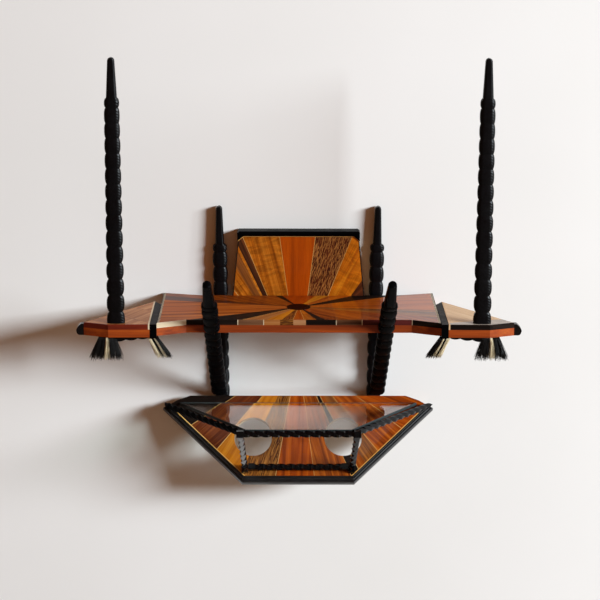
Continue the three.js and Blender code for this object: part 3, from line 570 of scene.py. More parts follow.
shelfPale = [-138.3, -97, -84.3]
# The ebony on the right flare, from 215.5 to the end, is painted shade: that face turns away from the light.
frontLipping = [  # from the left end, where each wood of the front edge stops
    (-214, "cream"), (-117, "ebony"), (-115.5, "cream"), (-68, "greyBrown"), (-66.5, "cream"),
    (-36, "tan"), (-11, "zebra"), (13, "peach"), (70, "ebony"), (71.5, "cream"), (119, "greyBrown"),
    (120.5, "cream"), (214, "purple"), (215.5, "cream"), (268.5, "ebony"),
]
rope = {
    "inset": 1.2, "width": 3.4, "pitch": 3.6, "dash": 1.5, "height": 0.08, "rise": 0.03,
    "slant": 0.5,  # radians
}


def buildShelf():
    s = shelfTop
    front = s["lipping"] - s["front"]
    outline = bothHalves([
        at(s["flareStart"], front), at(s["halfWidth"], front - s["flare"]), at(s["halfWidth"], 0),
        at(s["recessHalf"], -s["recess"])])
    marquetry = Marquetry(slabMesh(outline, -s["thickness"] * mm, 0, s["rayEdge"] * mm))
    outer = s["halfWidth"] - rope["inset"]
    field = []
    for side in sides.values():
        ropeOuter = crossPlane(side * outer, -side)
        ropeInner = crossPlane(side * (outer - rope["width"]), -side)
        marquetry.lay([behind(ropeOuter)], "ebony", Vector(), 90)
        marquetry.lay([ropeOuter, behind(ropeInner)], "cream", Vector(), 90)
        field.append(ropeInner)
    marquetry.layRays(field, at(0, -s["hubBack"], 0), shelfRays, shelfPale, s["paleWidth"] * mm)
    marquetry.finish("shelf_rays", "shelf_marquetry")


def buildLipping():
    s = shelfTop
    front = -s["front"]
    back = front + s["lipping"] - s["lippingGap"]
    outline = bothHalves([
        at(s["flareStart"], front), at(s["halfWidth"], front - s["flare"]),
        at(s["halfWidth"], back - s["flare"]), at(s["flareStart"], back)])
    marquetry = Marquetry(slabMesh(outline, -s["thickness"] * mm, 0, s["edge"] * mm))
    left = -s["halfWidth"] - 1
    for end, woodName in frontLipping:
        marquetry.lay([crossPlane(left, 1), crossPlane(end, -1)], woodName, Vector(), 0)
        left = end
    marquetry.finish("shelf_lipping", "shelf_marquetry")


buildShelf()
buildLipping()
print("Shelf laid:", len(shelfRays), "rays and", len(frontLipping), "pieces of lipping")


# Wings
wingTop = {
    "inner": (281.5, 243), "nose": (359, 245), "end": (406.5, 227), "back": (281.5, 68),  # out and forward
    "thickness": 10, "edge": 0.5, "string": 2.8, "lip": 2.2, "joint": 0.9,
    "frontBand": 13, "bandTurn": 0.3,  # the turn is a share of the band's own direction
    "lastJoint": 1.2,  # past the wing's end, as the joints are shares of its length
    "grainTurn": 8,
}
wingWoods = {  # the top with its joints square to the back edge, and the front edge
    "left": {
        "top": "wingBrown", "joints": [0.3, 0.62], "front": "darkMahogany", "frontStrip": None,
        "string": "cream",
    },
    "right": {
        "top": "paleMaple", "joints": [], "front": "ebony", "frontStrip": "silver", "string": "paleMaple",
    },
}
gapStrip = {"thickness": 27, "slant": 22, "edge": 0.8}


# The plane of the edge between two plan points, moved inwards, with its front side outwards
def edgePlane(first, second, inside, inset):
    run = (second - first).normalized()
    normal = Vector((run.y, -run.x, 0))
    if normal.dot(inside - first) > 0:
        normal.negate()
    return first - normal * inset * mm, normal


def buildWing(name):
    w = wingTop
    side = sides[name]
    plan = wingWoods[name]
    corners = [w[corner] for corner in ("inner", "nose", "end", "back")]
    marquetry = Marquetry(slabMesh(sideOutline(side, corners), -w["thickness"] * mm, 0, w["edge"] * mm))
    inner, nose, end, back = [at(side * out, -forward, 0) for out, forward in corners]
    inside = (inner + nose + end + back) / 4
    string = edgePlane(inner, back, inside, w["string"])
    front = edgePlane(inner, nose, inside, w["lip"])
    outerEnd = edgePlane(nose, end, inside, w["lip"])
    marquetry.lay([string], plan["string"], inner, 90)
    marquetry.lay([behind(string), front], plan["front"], inner, 0)
    marquetry.lay([behind(string), behind(front), outerEnd], plan["front"], inner, 0)
    body = [behind(string), behind(front), behind(outerEnd)]
    if plan["frontStrip"]:
        point, forward = edgePlane(inner, nose, inside, w["frontBand"])
        band = (point, (forward + Vector((side * w["bandTurn"], 0, 0))).normalized())
        marquetry.lay(body + [band], plan["frontStrip"], inner, 0)
        body.append(behind(band))
    run = end - back
    along = run.normalized()
    grainAngle = math.degrees(math.atan2(along.y, along.x))
    marks = [0, *plan["joints"], w["lastJoint"]]
    for low, high in zip(marks, marks[1:]):
        limits = [(back + run * high, -along)]
        turn = 0
        if low:
            joint = (back + run * low, along)
            jointEnd = (back + run * low + along * w["joint"] * mm, along)
            marquetry.lay(body + [joint, behind(jointEnd)], "darkBrown", back, grainAngle + 90)
            limits.append(jointEnd)
            turn = w["grainTurn"]
        marquetry.lay(body + limits, plan["top"], back, grainAngle + turn)
    marquetry.finish("wing_woods_" + name, "wing_marquetry_" + name)


# The black strip between shelf and wing, its back end cut slantwise
def buildStrip(name):
    g = gapStrip
    shelfEnd = shelfTop["halfWidth"]
    (wingEnd, front), (wingEnd, back) = wingTop["inner"], wingTop["back"]
    outline = sideOutline(sides[name], [
        (shelfEnd, front), (wingEnd, front), (wingEnd, back), (shelfEnd, back + g["slant"])])
    mesh = slabMesh(outline, -g["thickness"] * mm, 0, g["edge"] * mm)
    softenEdges(newPiece("black_strip_" + name, mesh, [blackDull], "gap_strip_" + name))


for sideName in sides:
    buildWing(sideName)
    buildStrip(sideName)
print("Wings laid")


# Back panel, laid flat in its own X and Y and then stood up
panelFace = {
    "foot": (131, 0), "clip": (120, 112.5), "top": (109.5, 121.5),  # corners, out and up
    "thickness": 4, "edge": 0.3, "face": 22, "rayDrop": 150, "border": 1.6, "sideBorder": 2, "paleWidth": 0.9,
}
panelRays = [  # from the vertical, to the right
    (-60, -38.5, "orange"), (-38.5, -31, "golden"), (-31, -26.6, "streaked"),
    (-26.6, -25.4, "golden"), (-25.4, -22.3, "umber"), (-22.3, -7.9, "golden"), (-7.9, 7, "deepOrange"),
    (7, 21.4, "palm"), (21.4, 34.8, "amber"), (34.8, 60, "darkBrown"),
]
panelPale = [-38.5, -22.3, -7.9, 7, 21.4]


# The planes just inside the clipped corner and the slanting side at one end
def panelBorder(side):
    p = panelFace
    foot, clip, top = [at(side * x, y, 0) for x, y in (p["foot"], p["clip"], p["top"])]
    run = (top - clip).normalized()
    inward = Vector((-run.y, run.x, 0)) * side
    if inward.y > 0:
        inward.negate()
    rise = (clip - foot).normalized()
    sideways = Vector((-side * abs(rise.y), -abs(rise.x), 0))
    return (clip + inward * p["border"] * mm, inward), (foot + sideways * p["sideBorder"] * mm, sideways)


# The woods of the panel, in a pale line under the cap and at the clipped corners, black at the sides
def buildPanel():
    p = panelFace
    outline = bothHalves([at(*p[corner]) for corner in ("foot", "clip", "top")])
    marquetry = Marquetry(slabMesh(outline, -p["thickness"] * mm, 0, p["edge"] * mm))
    topLine = (at(0, p["top"][1] - p["border"], 0), Vector((0, -1, 0)))
    borders = [panelBorder(side) for side in sides.values()]
    limits = [topLine] + [plane for border in borders for plane in border]
    rays = [(90 - end, 90 - start, woodName) for start, end, woodName in reversed(panelRays)]
    pale = [90 - angle for angle in panelPale]
    marquetry.layRays(limits, at(0, -p["rayDrop"], 0), rays, pale, p["paleWidth"] * mm)
    marquetry.lay([behind(topLine)], "stringing", Vector(), 0)
    for clipLine, sideLine in borders:
        marquetry.lay([topLine, behind(clipLine)], "stringing", Vector(), 45)
        marquetry.lay([topLine, clipLine, behind(sideLine)], "ebony", Vector(), 90)
    stand = Matrix.Translation(at(0, -p["face"], 0)) @ Matrix.Rotation(math.radians(90), 4, "X")
    marquetry.finish("panel_rays", "panel_marquetry", stand)


# The points of an arc, anticlockwise angles in degrees
def arc(x, y, radius, start, end, steps=6):
    angles = [math.radians(start + (end - start) * i / steps) for i in range(steps + 1)]
    return [(x + radius * math.cos(a), y + radius * math.sin(a)) for a in angles]


cap = {
    "halfWidth": 121, "height": 10.5, "reach": 8, "round": 3.4, "bead": 1.9, "beadUp": 2.6,
    "beadArc": (110, 250), "quirk": 2.6, "nick": 0.4, "foot": 3.6, "clip": 3.2, "back": 0.2,
    "cornerDrop": 10, "cornerFront": 24.5, "cornerBack": 18, "cornerLap": 0.5, "cornerGap": 0.2,
    "cornerSlope": 0.6,
}


# The cap's two rounded steps, its upper corners clipped, with a black corner under each end
def buildCap():
    c = cap
    p = panelFace
    (clipOut, clipUp), (topOut, base) = p["clip"], p["top"]
    front, top, step = -p["face"] - c["reach"], base + c["height"], base + 2 * c["quirk"]
    profile = [(-c["back"], base), (-c["back"], top)]
    profile += arc(front + c["round"], top - c["round"], c["round"], 90, 180)
    profile += [(front, step + c["nick"]), (front + c["quirk"], step)]
    profile += arc(front + c["quirk"] + c["bead"], base + c["beadUp"], c["bead"], *c["beadArc"])
    profile += [(front + c["quirk"] + c["foot"], base)]
    mesh = bmesh.new()
    ends = [side * c["halfWidth"] for side in sides.values()]
    loftRings(mesh, [[(end * mm, y * mm, z * mm) for y, z in profile] for end in ends])
    for side in sides.values():
        corner = at(side * (c["halfWidth"] - c["clip"]), 0, top)
        trim(mesh, [(corner, Vector((-side, 0, -1)).normalized())])
    cornerFoot = base - c["cornerDrop"]
    plan = [
        (topOut - c["cornerLap"], base), (clipOut + c["cornerGap"], clipUp - c["cornerGap"]),
        (clipOut + 2 * c["cornerGap"], cornerFoot), (c["halfWidth"], cornerFoot + c["cornerSlope"]),
        (c["halfWidth"], base),
    ]
    for side in sides.values():
        depths = (c["cornerBack"], c["cornerFront"])
        loftRings(mesh, [[(side * x * mm, -y * mm, z * mm) for x, z in plan] for y in depths])
    softenEdges(newPiece("cap_moulding", mesh, [blackDull], "panel_moulding"), sharpFrom=32)


buildPanel()
buildCap()
print("Panel laid and capped")


# Tray, laid flat in its own X and Y with its back arris on X, then tilted
trayFace = {
    "tilt": 55, "depth": 18, "drop": 209, "thickness": 4, "edge": 0.05, "rayBack": 88, "paleWidth": 0.9,
    "border": 1.6, "borderInset": 2.2, "sideMoulding": 12.5, "frontMoulding": 14.5, "fit": 0.3,
    "backEnd": (217, 0), "shoulder": (243, 9.5),  # out and down
    "corner": (272, 26.5), "nose": (111.5, 181.5),  # out and down
    "hole": 37.5, "holeOut": 90, "holeDown": 88.3, "holeSides": 96, "cutDepth": 60,
}
trayRays = [  # from straight down the slope, to the right
    (-80, -55, "ebony"), (-55, -39, "russet"), (-39, -24.5, "honey"), (-24.5, -10, "zebra"),
    (-10, 7.2, "rust"), (7.2, 22.5, "brown"), (22.5, 26.5, "ebony"), (26.5, 30.3, "brown"),
    (30.3, 38, "streaked"), (38, 53, "redBrown"), (53, 80, "rust"),
]
trayPale = [-55, -39, -10, 7.2, 22.5, 26.5, 38, 53]


def trayPlacement():
    t = trayFace
    tilt = Matrix.Rotation(math.radians(t["tilt"]), 4, "X")
    return Matrix.Translation(at(0, -t["depth"], -t["drop"])) @ tilt


def trayPoint(name):
    out, down = trayFace[name]
    return at(out, -down)


def lineCrossing(a, alongA, b, alongB):
    across = alongA.x * alongB.y - alongA.y * alongB.x
    share = ((b.x - a.x) * alongB.y - (b.y - a.y) * alongB.x) / across
    return a + alongA * share


# The corners of the marquetry inside the mouldings, on the right side
def trayInner():
    t = trayFace
    corner = trayPoint("corner")
    along = (trayPoint("nose") - corner).normalized()
    inward = Vector((along.y, -along.x))
    onLine = corner + inward * t["sideMoulding"] * mm
    foot = at(0, t["frontMoulding"] - t["nose"][1])
    back = lineCrossing(onLine, along, corner, (trayPoint("shoulder") - corner).normalized())
    return back, lineCrossing(onLine, along, foot, Vector((1, 0))), along, inward


# The woods of the tray, with a pale line and a black border along the side mouldings
def buildTray():
    t = trayFace
    back, nose, along, inward = trayInner()
    outline = bothHalves([nose, back, trayPoint("shoulder"), trayPoint("backEnd")])
    marquetry = Marquetry(slabMesh(outline, -t["thickness"] * mm, 0, t["edge"] * mm))
    limits = []
    for side in sides.values():
        inSide = onSide(inward, side).to_3d()
        limits.append((onSide(nose, side).to_3d() + inSide * t["borderInset"] * mm, inSide))
    rays = [(start - 90, end - 90, woodName) for start, end, woodName in trayRays]
    pale = [angle - 90 for angle in trayPale]
    marquetry.layRays(limits, at(0, t["rayBack"], 0), rays, pale, t["paleWidth"] * mm)
    for limit, side in zip(limits, sides.values()):
        point, inSide = limit
        angle = math.degrees(math.atan2(along.y, side * along.x))
        outerEdge = (point - inSide * t["border"] * mm, inSide)
        here = crossPlane(0, side)
        marquetry.lay([here, behind(limit), outerEdge], "stringing", Vector(), angle)
        marquetry.lay([here, behind(outerEdge)], "ebony", Vector(), angle)
    cutHoles(marquetry.finish("tray_rays", "tray_marquetry", trayPlacement()))


# Round holes right through the tray's woods
def cutHoles(piece):
    t = trayFace
    cutters = bmesh.new()
    for side in sides.values():
        place = trayPlacement() @ Matrix.Translation(at(side * t["holeOut"], -t["holeDown"], 0))
        bmesh.ops.create_cone(
            cutters, cap_ends=True, segments=t["holeSides"], radius1=t["hole"] * mm, radius2=t["hole"] * mm,
            depth=t["cutDepth"] * mm, matrix=place)
    cutAway(piece, cutters, ownOverlaps=True)


# The mouldings' section: shares of the width in from the outer side, and heights
moulding = {
    "foot": -14, "shoulder": -4.5, "innerTop": 0.3, "valley": -0.2, "steps": 6,
    "ridges": [(0.06, 0.3, 1.2), (0.36, 0.7, 2.1), (0.76, 0.96, 1.3)],
}


def mouldingProfile():
    m = moulding
    points = [(0, m["foot"]), (1, m["foot"]), (1, m["innerTop"])]
    for low, high, rise in reversed(m["ridges"]):
        for step in range(m["steps"] + 1):
            angle = math.pi * step / m["steps"]
            share = (low + high) / 2 + (high - low) / 2 * math.cos(angle)
            points.append((share, m["valley"] + (rise - m["valley"]) * math.sin(angle)))
    points.append((0, m["shoulder"]))
    return points


def buildMoulding(name, *ends):
    mesh = bmesh.new()
    rings = []
    for outer, inner in ends:
        rings.append([(*outer.lerp(inner, share), height * mm) for share, height in mouldingProfile()])
    loftRings(mesh, rings)
    mesh.transform(trayPlacement())
    piece = newPiece("ridged_moulding_" + name, mesh, [blackRidge], "tray_moulding_" + name)
    softenEdges(piece, sharpFrom=40)


def buildMouldings():
    fit = trayFace["fit"] * mm
    back, nose, along, inward = trayInner()
    outerNose = trayPoint("nose")
    start = (trayPoint("corner"), back - inward * fit)
    end = (outerNose - along * fit, nose - inward * fit - along * fit)
    for name, side in sides.items():
        buildMoulding(name, [onSide(p, side) for p in start], [onSide(p, side) for p in end])
    mitre = (outerNose, Vector((nose.x, nose.y - fit)))
    buildMoulding("front", [onSide(p, -1) for p in mitre], mitre)


buildTray()
buildMouldings()
print("Tray laid with its mouldings")


# Carved sticks: rounded beads along a flat stick, one small bead and a plain tapered finial
carving = {
    "flat": 0.45, "edge": 0.34, "ringStep": 1.1, "sectionSteps": 7,  # flat and edge are shares of half a side
    "fluteDepth": 0.9, "flutePitch": 5.2, "fluteSlant": 1.4,  # the slant is in flutes
    "notchShare": 0.88, "smallBeadShare": 0.97, "finialThin": 0.2, "tipRound": 6, "tipShare": 0.25,
    "bluntness": 0.75, "smallNotchOver": 1,
}
sticks = {
    "outer": {
        "thickness": 16, "height": 500, "finial": 74, "finialTip": 12.5, "finialBase": 20, "smallBead": 19,
        "topBead": 28.5, "footBead": 34, "notch": 24.5, "topPitch": 27.5, "pitchGrowth": 0.35,
        "roundness": 2.6,
    },
    "rear": {
        "thickness": 18, "height": 441, "finial": 76, "finialTip": 12, "finialBase": 17, "smallBead": 16,
        "topBead": 28.8, "footBead": 28.8, "notch": 21.6, "topPitch": 30.3, "pitchGrowth": 0,
        "roundness": 2.6,
    },
    "front": {
        "thickness": 17.5, "height": 445, "finial": 75, "finialTip": 15.5, "finialBase": 23, "smallBead": 16,
        "topBead": 31.5, "footBead": 31.5, "notch": 21.5, "topPitch": 30, "pitchGrowth": 0,
        "roundness": 2,
    },
}


# Half the width, the swell of a bead (none here) and the share of the thickness at a finial's height
def finialAt(stick, height):
    c = carving
    share = 1 - (stick["height"] - height) / stick["finial"]
    half = (stick["finialBase"] + (stick["finialTip"] - stick["finialBase"]) * share) / 2
    fromTop = min(1, (stick["height"] - height) / c["tipRound"])
    half *= math.sqrt(max(0, 1 - (1 - fromTop) ** 2)) * (1 - c["tipShare"]) + c["tipShare"]
    return half, 0, 1 - c["finialThin"] * share


# The same at a height among the beads, which follow each other down from the finial
def beadAt(stick, height):
    c = carving
    smallTop = stick["height"] - stick["finial"]
    smallFoot = smallTop - stick["smallBead"]
    if height > smallFoot:
        top, pitch, width = smallTop, stick["smallBead"], stick["topBead"] * c["smallBeadShare"]
        notch = stick["finialBase"] + c["smallNotchOver"]
    else:
        top, pitch = smallFoot, stick["topPitch"]
        while height < top - pitch:
            top -= pitch
            pitch += stick["pitchGrowth"]
        width = stick["footBead"] + (stick["topBead"] - stick["footBead"]) * top / smallFoot
        notch = stick["notch"]
    along = (top - height) / pitch
    arch = (1 - abs(2 * along - 1) ** stick["roundness"]) ** c["bluntness"]
    return (notch + (width - notch) * arch) / 2, arch, c["notchShare"] + (1 - c["notchShare"]) * arch


def stickRing(stick, height):
    c = carving
    form = finialAt if height > stick["height"] - stick["finial"] else beadAt
    half, arch, depth = form(stick, height)
    crown = stick["thickness"] / 2 * depth
    edge = crown * c["edge"]
    flat = half * c["flat"]
    quarter = []
    for step in range(c["sectionSteps"]):
        share = step / (c["sectionSteps"] - 1)
        turn = share * math.pi / 2
        x = flat + (half - flat) * math.sin(turn)
        y = edge + (crown - edge) * math.cos(turn)
        phase = height / c["flutePitch"] + share * c["fluteSlant"]
        groove = (1 - math.cos(2 * math.pi * phase)) / 2
        flute = c["fluteDepth"] * arch * math.sin(math.pi * share) * groove
        quarter.append((x - flute * math.sin(turn), y - flute * math.cos(turn)))
    front = quarter + [(x, -y) for x, y in reversed(quarter)]
    return front + [(-x, y) for x, y in reversed(front)]


def carveStick(kind):
    stick = sticks[kind]
    mesh = bmesh.new()
    count = round(stick["height"] / carving["ringStep"])
    heights = [stick["height"] * i / count for i in range(count + 1)]
    loftRings(mesh, [[(x * mm, y * mm, h * mm) for x, y in stickRing(stick, h)] for h in heights])
    return mesh


def buildPost(kind, name, material, placement, planes=(), notch=None):
    mesh = carveStick(kind)
    mesh.transform(placement)
    trim(mesh, planes)
    piece = newPiece(f"{kind}_stick_{name}", mesh, [material], f"{kind}_post_{name}")
    if notch:
        cutAway(piece, notch)
    softenEdges(piece)


def outerPlacement(name):
    low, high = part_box("outer_post_" + name)
    middle = (Vector(low) + Vector(high)) / 2
    return Matrix.Translation((middle.x, middle.y, 0))


rearStance = {"out": 154.8, "depth": 9, "top": 179, "splay": 0.7}


def rearPlacement(name):
    r = rearStance
    side = sides[name]
    splay = Matrix.Rotation(side * math.radians(r["splay"]), 4, "Y")
    foot = Matrix.Translation(at(0, 0, r["top"] - sticks["rear"]["height"]))
    return Matrix.Translation(at(side * r["out"], -r["depth"], 0)) @ splay @ foot


frontStance = {"footOut": 159, "topOut": 169.5, "web": 3.5, "rise": 1, "fit": 0.3, "cutPast": 10}


# A front stick leans out from its foot on the rear post, so that its notch takes the shelf's arris
def frontPlacement(name):
    f = frontStance
    side = sides[name]
    stick = sticks["front"]
    footY, footZ = -trayFace["depth"], f["rise"] - trayFace["drop"]
    reachY, reachZ = -shelfTop["front"] - footY, -shelfTop["underside"] - footZ
    lean = math.atan2(-reachY, reachZ) + math.asin(f["web"] / math.hypot(reachY, reachZ))
    face = Vector((0, math.cos(lean), math.sin(lean)))
    start = Vector((side * f["footOut"], footY, footZ)) + face * stick["thickness"] / 2
    end = Vector((side * f["topOut"], footY, footZ)) + face * stick["thickness"] / 2
    end += Vector((0, -math.sin(lean), math.cos(lean))) * stick["height"]
    along = (end - start).normalized()
    across = face.cross(along).normalized()
    placement = Matrix((across, along.cross(across), along)).transposed().to_4x4()
    placement.translation = start * mm
    return placement


# The shelf's front edge, which the leaning posts are cut round
def shelfNotch():
    fit, past = frontStance["fit"], frontStance["cutPast"] * mm
    front, under = (-shelfTop["front"] - fit) * mm, (-shelfTop["underside"] - fit) * mm
    notch = bmesh.new()
    bmesh.ops.create_cube(notch, size=1)
    for vertex in notch.verts:
        vertex.co = (vertex.co.x, front if vertex.co.y < 0 else past, under if vertex.co.z < 0 else past)
    return notch


wallSide = (at(0, -trayFace["depth"] - frontStance["fit"], 0), Vector((0, -1, 0)))
for sideName in sides:
    buildPost("outer", sideName, blackSatin, outerPlacement(sideName))
    buildPost("rear", sideName, blackSatin, rearPlacement(sideName))
    buildPost("front", sideName, blackDull, frontPlacement(sideName), [wallSide], shelfNotch())
print("Posts carved")


# Geometry Nodes: a tree with named inputs, whose result is kept as a plain mesh
class Tree:
    def __init__(self, name, inputs):
        self.group = bpy.data.node_groups.new(name, "GeometryNodeTree")
        self.group.interface.new_socket("Geometry", in_out="OUTPUT", socket_type="NodeSocketGeometry")
        self.sockets = {}
        for label, kind in inputs.items():
            socket = self.group.interface.new_socket(label, in_out="INPUT", socket_type="NodeSocket" + kind)
            self.sockets[label] = socket.identifier
        self.given = self.group.nodes.new("NodeGroupInput").outputs

    def node(self, kind, inputs=None, **settings):
        made = addNode(self.group, kind, **settings)
        for key, value in (inputs or {}).items():
            if isinstance(value, bpy.types.NodeSocket):
                self.group.links.new(value, made.inputs[key])
            else:
                made.inputs[key].default_value = value
        return made.outputs

    def maths(self, operation, first, second=0.0):
        return self.node("ShaderNodeMath", {0: first, 1: second}, operation=operation)[0]

    def vector(self, x=0.0, y=0.0, z=0.0):
        return self.node("ShaderNodeCombineXYZ", {"X": x, "Y": y, "Z": z})[0]

    # A random place within a flat box about zero, its half sizes in millimetres
    def scatter(self, halfX, halfY, seed):
        reach = at(halfX, halfY, 0)
        limits = {"Min": -reach, "Max": reach, "Seed": seed}
        return self.node("FunctionNodeRandomValue", limits, data_type="FLOAT_VECTOR")[0]

    def end(self, geometry):
        real = self.node("GeometryNodeRealizeInstances", {"Geometry": geometry})[0]
        dressing = {"Geometry": real, "Material": self.given["Material"]}
        dressed = self.node("GeometryNodeSetMaterial", dressing)[0]
        self.group.links.new(dressed, self.group.nodes.new("NodeGroupOutput").inputs["Geometry"])

    def run(self, name, values, placement):
        piece = addObject(name, bpy.data.meshes.new(name))
        modifier = piece.modifiers.new("rule", "NODES")
        modifier.node_group = self.group
        for label, value in values.items():
            modifier[self.sockets[label]] = value
        bakeModifiers(piece)
        piece.data.transform(placement)
        return piece


# A square bar twisted by a number of quarter turns, its arrises a little rounded
def twistTree():
    tree = Tree("twisted_bar", {
        "Length": "Float", "Side": "Float", "Quarter turns": "Float", "Rounding": "Float", "Rings": "Int",
        "Material": "Material"})
    given = tree.given
    line = tree.node("GeometryNodeCurvePrimitiveLine", {"End": tree.vector(z=given["Length"])})[0]
    rings = tree.node("GeometryNodeResampleCurve", {"Curve": line, "Count": given["Rings"]})[0]
    share = tree.node("GeometryNodeSplineParameter")["Factor"]
    turn = tree.maths("MULTIPLY", tree.maths("MULTIPLY", given["Quarter turns"], math.pi / 2), share)
    tilted = tree.node("GeometryNodeSetCurveTilt", {"Curve": rings, "Tilt": turn})[0]
    square = tree.node(
        "GeometryNodeCurvePrimitiveQuadrilateral", {"Width": given["Side"], "Height": given["Side"]})[0]
    rounded = tree.node(
        "GeometryNodeFilletCurve", {"Curve": square, "Count": 1, "Radius": given["Rounding"]}, mode="POLY")[0]
    bar = {"Curve": tilted, "Profile Curve": rounded, "Fill Caps": True}
    tree.end(tree.node("GeometryNodeCurveToMesh", bar)[0])
    return tree


strand = {
    "sides": 4, "segments": 6, "tipShare": 0.55, "stray": (0.4, 0.4), "sway": (4.2, 4), "swaySeed": 7,
    "shortest": 0.82, "longest": 1.06,  # shares of the length
}


# Bristles on a rectangle, spreading downwards and outwards as they fall
def bristleTree():
    tree = Tree("bristles", {
        "Width": "Float", "Depth": "Float", "Across": "Int", "Deep": "Int", "Length": "Float",
        "Fan width": "Float", "Fan depth": "Float", "Lean": "Float", "From": "Float", "To": "Float",
        "Thickness": "Float", "Seed": "Int", "Material": "Material"})
    given = tree.given
    grid = tree.node("GeometryNodeMeshGrid", {
        "Size X": tree.maths("SUBTRACT", given["To"], given["From"]), "Size Y": given["Depth"],
        "Vertices X": given["Across"], "Vertices Y": given["Deep"]})[0]
    middle = tree.maths("MULTIPLY", tree.maths("ADD", given["From"], given["To"]), 0.5)
    stray = tree.scatter(*strand["stray"], given["Seed"])
    offset = tree.node("ShaderNodeVectorMath", {0: tree.vector(x=middle), 1: stray}, operation="ADD")[0]
    roots = tree.node("GeometryNodeSetPosition", {"Geometry": grid, "Offset": offset})[0]
    bristle = tree.node("GeometryNodeMeshCone", {
        "Vertices": strand["sides"], "Side Segments": strand["segments"],
        "Radius Top": tree.maths("MULTIPLY", given["Thickness"], strand["tipShare"]),
        "Radius Bottom": given["Thickness"], "Depth": 1.0})[0]
    place = tree.node("ShaderNodeSeparateXYZ", {0: tree.node("GeometryNodeInputPosition")[0]})
    reachX = tree.maths("MULTIPLY", tree.maths("DIVIDE", place["X"], given["Width"]), given["Fan width"])
    reachY = tree.maths("MULTIPLY", tree.maths("DIVIDE", place["Y"], given["Depth"]), given["Fan depth"])
    lengths = {2: strand["shortest"], 3: strand["longest"], "Seed": given["Seed"]}
    share = tree.node("FunctionNodeRandomValue", lengths)[1]
    sway = tree.scatter(*strand["sway"], tree.maths("ADD", given["Seed"], strand["swaySeed"]))
    swayed = tree.node("ShaderNodeSeparateXYZ", {0: sway})
    fanned = tree.maths("ADD", tree.maths("SUBTRACT", reachX, place["X"]), given["Lean"])
    aim = tree.vector(
        tree.maths("ADD", fanned, swayed["X"]),
        tree.maths("ADD", tree.maths("SUBTRACT", reachY, place["Y"]), swayed["Y"]),
        tree.maths("MULTIPLY", given["Length"], -1))
    turn = tree.node("FunctionNodeAlignRotationToVector", {"Vector": aim}, axis="Z")[0]
    reach = tree.node("ShaderNodeVectorMath", {0: aim}, operation="LENGTH")["Value"]
    size = tree.vector(1, 1, tree.maths("MULTIPLY", reach, share))
    bristles = tree.node("GeometryNodeInstanceOnPoints", {
        "Points": roots, "Instance": bristle, "Rotation": turn, "Scale": size})[0]
    tree.end(bristles)
    return tree


# Short dashes along a straight line, as in rope stringing
def dashTree():
    tree = Tree("dashes", {
        "Length": "Float", "Pitch": "Float", "Dash": "Float", "Width": "Float", "Height": "Float",
        "Slant": "Float", "Material": "Material"})
    given = tree.given
    count = tree.maths("FLOOR", tree.maths("DIVIDE", given["Length"], given["Pitch"]))
    line = tree.node("GeometryNodeMeshLine", {"Count": count, "Offset": tree.vector(x=given["Pitch"])})[0]
    size = tree.vector(given["Dash"], given["Width"], given["Height"])
    dash = tree.node("GeometryNodeMeshCube", {"Size": size})[0]
    turned = tree.node("FunctionNodeAxisAngleToRotation", {"Angle": given["Slant"]})[0]
    dashes = {"Points": line, "Instance": dash, "Rotation": turned}
    tree.end(tree.node("GeometryNodeInstanceOnPoints", dashes)[0])
    return tree


# Rails of twisted square bar with plain square ends
railing = {
    "side": 9.8, "rounding": 0.4, "quarterTurn": 20, "ringsPerTurn": 12,
    "collar": 13, "collarLength": 13, "collarRounding": 1.2, "fit": 0.3, "mouldingRise": 2,
    "frontHalf": 120, "frontDepth": 213, "drop": 226, "sideBackOut": 267, "sideBackDepth": 26,
    "sideFrontOut": 111.5, "strutFootOut": 106, "strutFootUp": 11, "strutTopOut": 112.5, "strutTopIn": 1,
    "stopUp": 16,
}
# Painted light: the mirrored rails get different finishes. The darker dull black on the left side bar is
# painted shade, and the strong shine on the left strut is a painted highlight.
railShadeAndHighlight = {
    "left": {"bar": blackDull, "strut": blackHighlightShine}, "right": {"bar": blackTwist, "strut": blackTwist},
}
railReach = railing["side"] / math.sqrt(2)  # from the middle of a twisted bar to its arris
slabFoot = trayFace["nose"][1] - trayFace["frontMoulding"]
levelUp = Vector((0, 0, 1))
trayUp = (trayPlacement().to_3x3() @ levelUp).normalized()
twist = twistTree()


# A twisted bar with two plain ends, one side facing a direction, cut to planes where it meets others
def buildRail(name, node, start, end, facing, planes=(), material=blackTwist):
    r = railing
    length = (end - start).length
    collarLength = r["collarLength"] * mm
    twisted = length - 2 * collarLength
    turns = max(1, round(twisted / (r["quarterTurn"] * mm)))
    parts = [(r["side"], twisted, turns, turns * r["ringsPerTurn"] + 1, r["rounding"], collarLength)]
    for foot in (0, length - collarLength):
        parts.append((r["collar"], collarLength, 0, 2, r["collarRounding"], foot))
    along = (end - start).normalized()
    across = facing.cross(along).normalized()
    placement = Matrix((across, along.cross(across), along)).transposed().to_4x4()
    placement.translation = start
    whole = bmesh.new()
    for side, reach, quarters, rings, rounding, foot in parts:
        piece = twist.run("part", {
            "Length": reach, "Side": side * mm, "Quarter turns": quarters, "Rounding": rounding * mm,
            "Rings": rings, "Material": material}, Matrix.Translation((0, 0, foot)))
        part = bmesh.new()
        part.from_mesh(piece.data)
        part.transform(placement)
        trim(part, planes)
        part.to_mesh(piece.data)
        part.free()
        whole.from_mesh(piece.data)
        bpy.data.objects.remove(piece)
    softenEdges(newPiece(name, whole, [material], node), sharpFrom=30)


def onTray(out, down, above=0):
    return trayPlacement() @ at(out, -down, above)


def buildFrontBar():
    r = railing
    ends = [at(side * r["frontHalf"], -r["frontDepth"], -r["drop"]) for side in sides.values()]
    buildRail("twisted_front_bar", "gallery_bar_front", *ends, levelUp)


